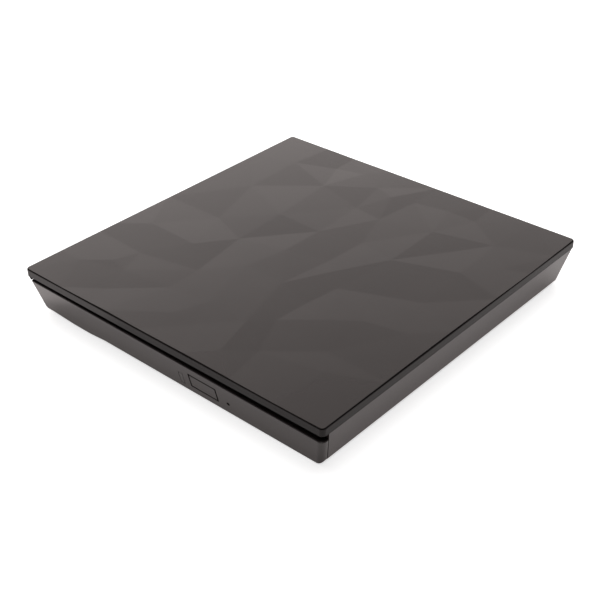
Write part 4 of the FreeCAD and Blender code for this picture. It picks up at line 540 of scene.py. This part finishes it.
def turned(name, profile, count, place, material, body):
    """A turned piece from (radius, height) points in millimetres, open at both ends."""
    points = []
    for r, z in profile:
        points += [(x * MM, y * MM, z * MM) for x, y in circle(0, 0, r, count)]
    faces = []
    for row in range(len(profile) - 1):
        for i in range(count):
            a, b = row * count + i, row * count + (i + 1) % count
            faces.append((a, b, b + count, a + count))
    mesh = bpy.data.meshes.new(name)
    mesh.from_pydata(points, [], faces)
    mesh.polygons.foreach_set("use_smooth", [True] * len(faces))
    return finish_piece(name, mesh, place, material, body)


def middle(low, high):
    """The middle of a box seen from above, in millimetres."""
    return (low.x + high.x) / 2 / MM, (low.y + high.y) / 2 / MM


def to_line(low, high):
    """The middle of a box in millimetres along and across the mechanism line."""
    flat = MECH.inverted() @ Vector(((low.x + high.x) / 2, (low.y + high.y) / 2, 0))
    return flat.x / MM, flat.y / MM


def islands(name):
    """The low and high corners of each loose part of a CAD node, in metres."""
    mesh = nodes[name].data
    owner = list(range(len(mesh.vertices)))

    def root(i):
        while owner[i] != i:
            owner[i] = owner[owner[i]]
            i = owner[i]
        return i

    seen = {}
    for vertex in mesh.vertices:
        key = tuple(round(c, 6) for c in vertex.co)
        owner[root(vertex.index)] = root(seen.setdefault(key, vertex.index))
    for edge in mesh.edges:
        owner[root(edge.vertices[0])] = root(edge.vertices[1])
    groups = {}
    for vertex in mesh.vertices:
        groups.setdefault(root(vertex.index), []).append(vertex.co)
    found = []
    for places in groups.values():
        low = Vector([min(p[k] for p in places) for k in range(3)])
        high = Vector([max(p[k] for p in places) for k in range(3)])
        found.append((low, high))
    return found


def make_screw_caps(steel):
    screws = islands("cover_screws")
    top = screws[-1][1].z / MM
    outlines = []
    for low, high in screws:
        x, y = middle(low, high)
        outlines += [circle(x, y, CAP_R, 32), cross(x, y, *CAP_CROSS)]
    plates("cover_screw_caps", outlines, top, top + CAP_T, CAP_ROUND, IN_PLACE, steel, "tray")


def make_hub_cap(plastic_mat):
    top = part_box("turntable")[1].z / MM
    profile = [(r, top + rise) for r, rise in HUB_CAP]
    turned("hub_cap", profile, 64, Matrix.Translation((SPINDLE.x, SPINDLE.y, 0)), plastic_mat, "rotor")


def make_pickup_screws(brass):
    low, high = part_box("actuator_cover")
    u, v = to_line(low, high)
    z = low.z / MM
    outlines = []
    for side in (-1, 1):
        place = (u - PICKUP_SCREW_U, v + side * PICKUP_SCREW_V)
        outlines += [circle(*place, PICKUP_SCREW_R, 28), cross(*place, *PICKUP_SCREW_CROSS)]
    plates("pickup_screws", outlines, z, z + PICKUP_SCREW_T, PICKUP_SCREW_ROUND, MECH, brass, "pickup")


def make_focus_coils(coil):
    low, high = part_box("lens_holder")
    u, v = to_line(low, high)
    top = high.z / MM
    outlines = []
    for side in (-1, 1):
        u0, u1 = u + side * COIL_U - COIL_HALF, u + side * COIL_U + COIL_HALF
        outlines.append(box_outline(u0, u1, v - COIL_OUT, v - COIL_IN))
        outlines.append(box_outline(u0, u1, v + COIL_IN, v + COIL_OUT))
    plates("focus_coils", outlines, top - COIL_SINK, top + COIL_RISE, COIL_ROUND, MECH, coil, "lens")


def make_flex(film):
    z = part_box("base_cover")[1].z / MM + FLEX_GAP
    outlines = [box_outline(*FLEX_U, *FLEX_V)]
    outlines += [circle(FLEX_U[0] + FLEX_HOLE_U, v, FLEX_HOLE_R, 16) for v in FLEX_HOLES_V]
    plates("pickup_flex", outlines, z, z + FLEX_T, FLEX_GAP, MECH, film, "tray")


def make_cover_beads(coat):
    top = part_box("mechanism_cover")[1].z / MM
    outlines = [long_hole(*bead) for bead in BEADS]
    plates("cover_beads", outlines, top - BEAD_SINK, top + BEAD_RISE, BEAD_ROUND, MECH, coat, "tray")


def make_motor_cap(dark):
    z = islands("feed_motor")[0][1].z / MM - MOTOR_CAP_DROP
    along = Matrix.Rotation(math.pi / 2, 4, "Y")
    place = MECH @ Matrix.Translation((MOTOR_CAP_U * MM, MOTOR_CAP_V * MM, z * MM)) @ along
    turned("motor_end_cap", MOTOR_CAP, 40, place, dark, "tray")


def make_usb_contacts(gold):
    low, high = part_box("usb_tongue")
    x, top = middle(low, high)[0], high.z / MM
    y0, y1 = low.y / MM + CONTACT_INSET, high.y / MM - CONTACT_END
    outlines = []
    for n in range(CONTACTS):
        place = x + (n - CONTACTS // 2) * CONTACT_STEP
        outlines.append(box_outline(place - CONTACT_HALF, place + CONTACT_HALF, y0, y1))
    plates("usb_contacts", outlines, top, top + CONTACT_T, CONTACT_ROUND, IN_PLACE, gold, "case")


def make_foot_collars(case):
    outlines = []
    for low, high in islands("rubber_feet"):
        x, y = middle(low, high)
        outlines += [circle(x, y, COLLAR_R, 48), circle(x, y, COLLAR_BORE, 48)]
    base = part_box("case_screws")[0].z / MM - COLLAR_RISE
    z0, z1 = base - COLLAR_LOW, base + COLLAR_HIGH
    plates("foot_collars", outlines, z0, z1, COLLAR_ROUND, IN_PLACE, case, "case")


def flex_film():
    m = Mat("polyimide_flex")
    lines = m.node("ShaderNodeTexWave", wave_type="BANDS", bands_direction="DIAGONAL", Scale=420.0)
    m.link(m.coords.outputs["Object"], lines.inputs["Vector"])
    tracks = m.spread(lines.outputs["Fac"], 0.0, 1.0, 0.45, 0.55)
    m.colour(m.blend(tracks, (0.34, 0.14, 0.02), (0.55, 0.26, 0.06)))
    m.roughness(m.spread(m.noise(70.0), 0.25, 0.36))
    m.bump(tracks, FILM_DEPTH, 0.4)
    return m


def make_details(finishes):
    make_screw_caps(finishes["steel"])
    make_hub_cap(finishes["inner"])
    make_pickup_screws(finishes["brass"])
    make_focus_coils(finishes["coil"])
    make_flex(flex_film())
    make_cover_beads(finishes["coat"])
    make_motor_cap(finishes["inner"])
    make_usb_contacts(finishes["brass"])
    make_foot_collars(finishes["case"])


make_camera()
make_world()
for light in LIGHTS:
    area_light(*light)
make_floor()
make_details(make_materials())

bpy.context.scene.view_settings.view_transform = "Standard"
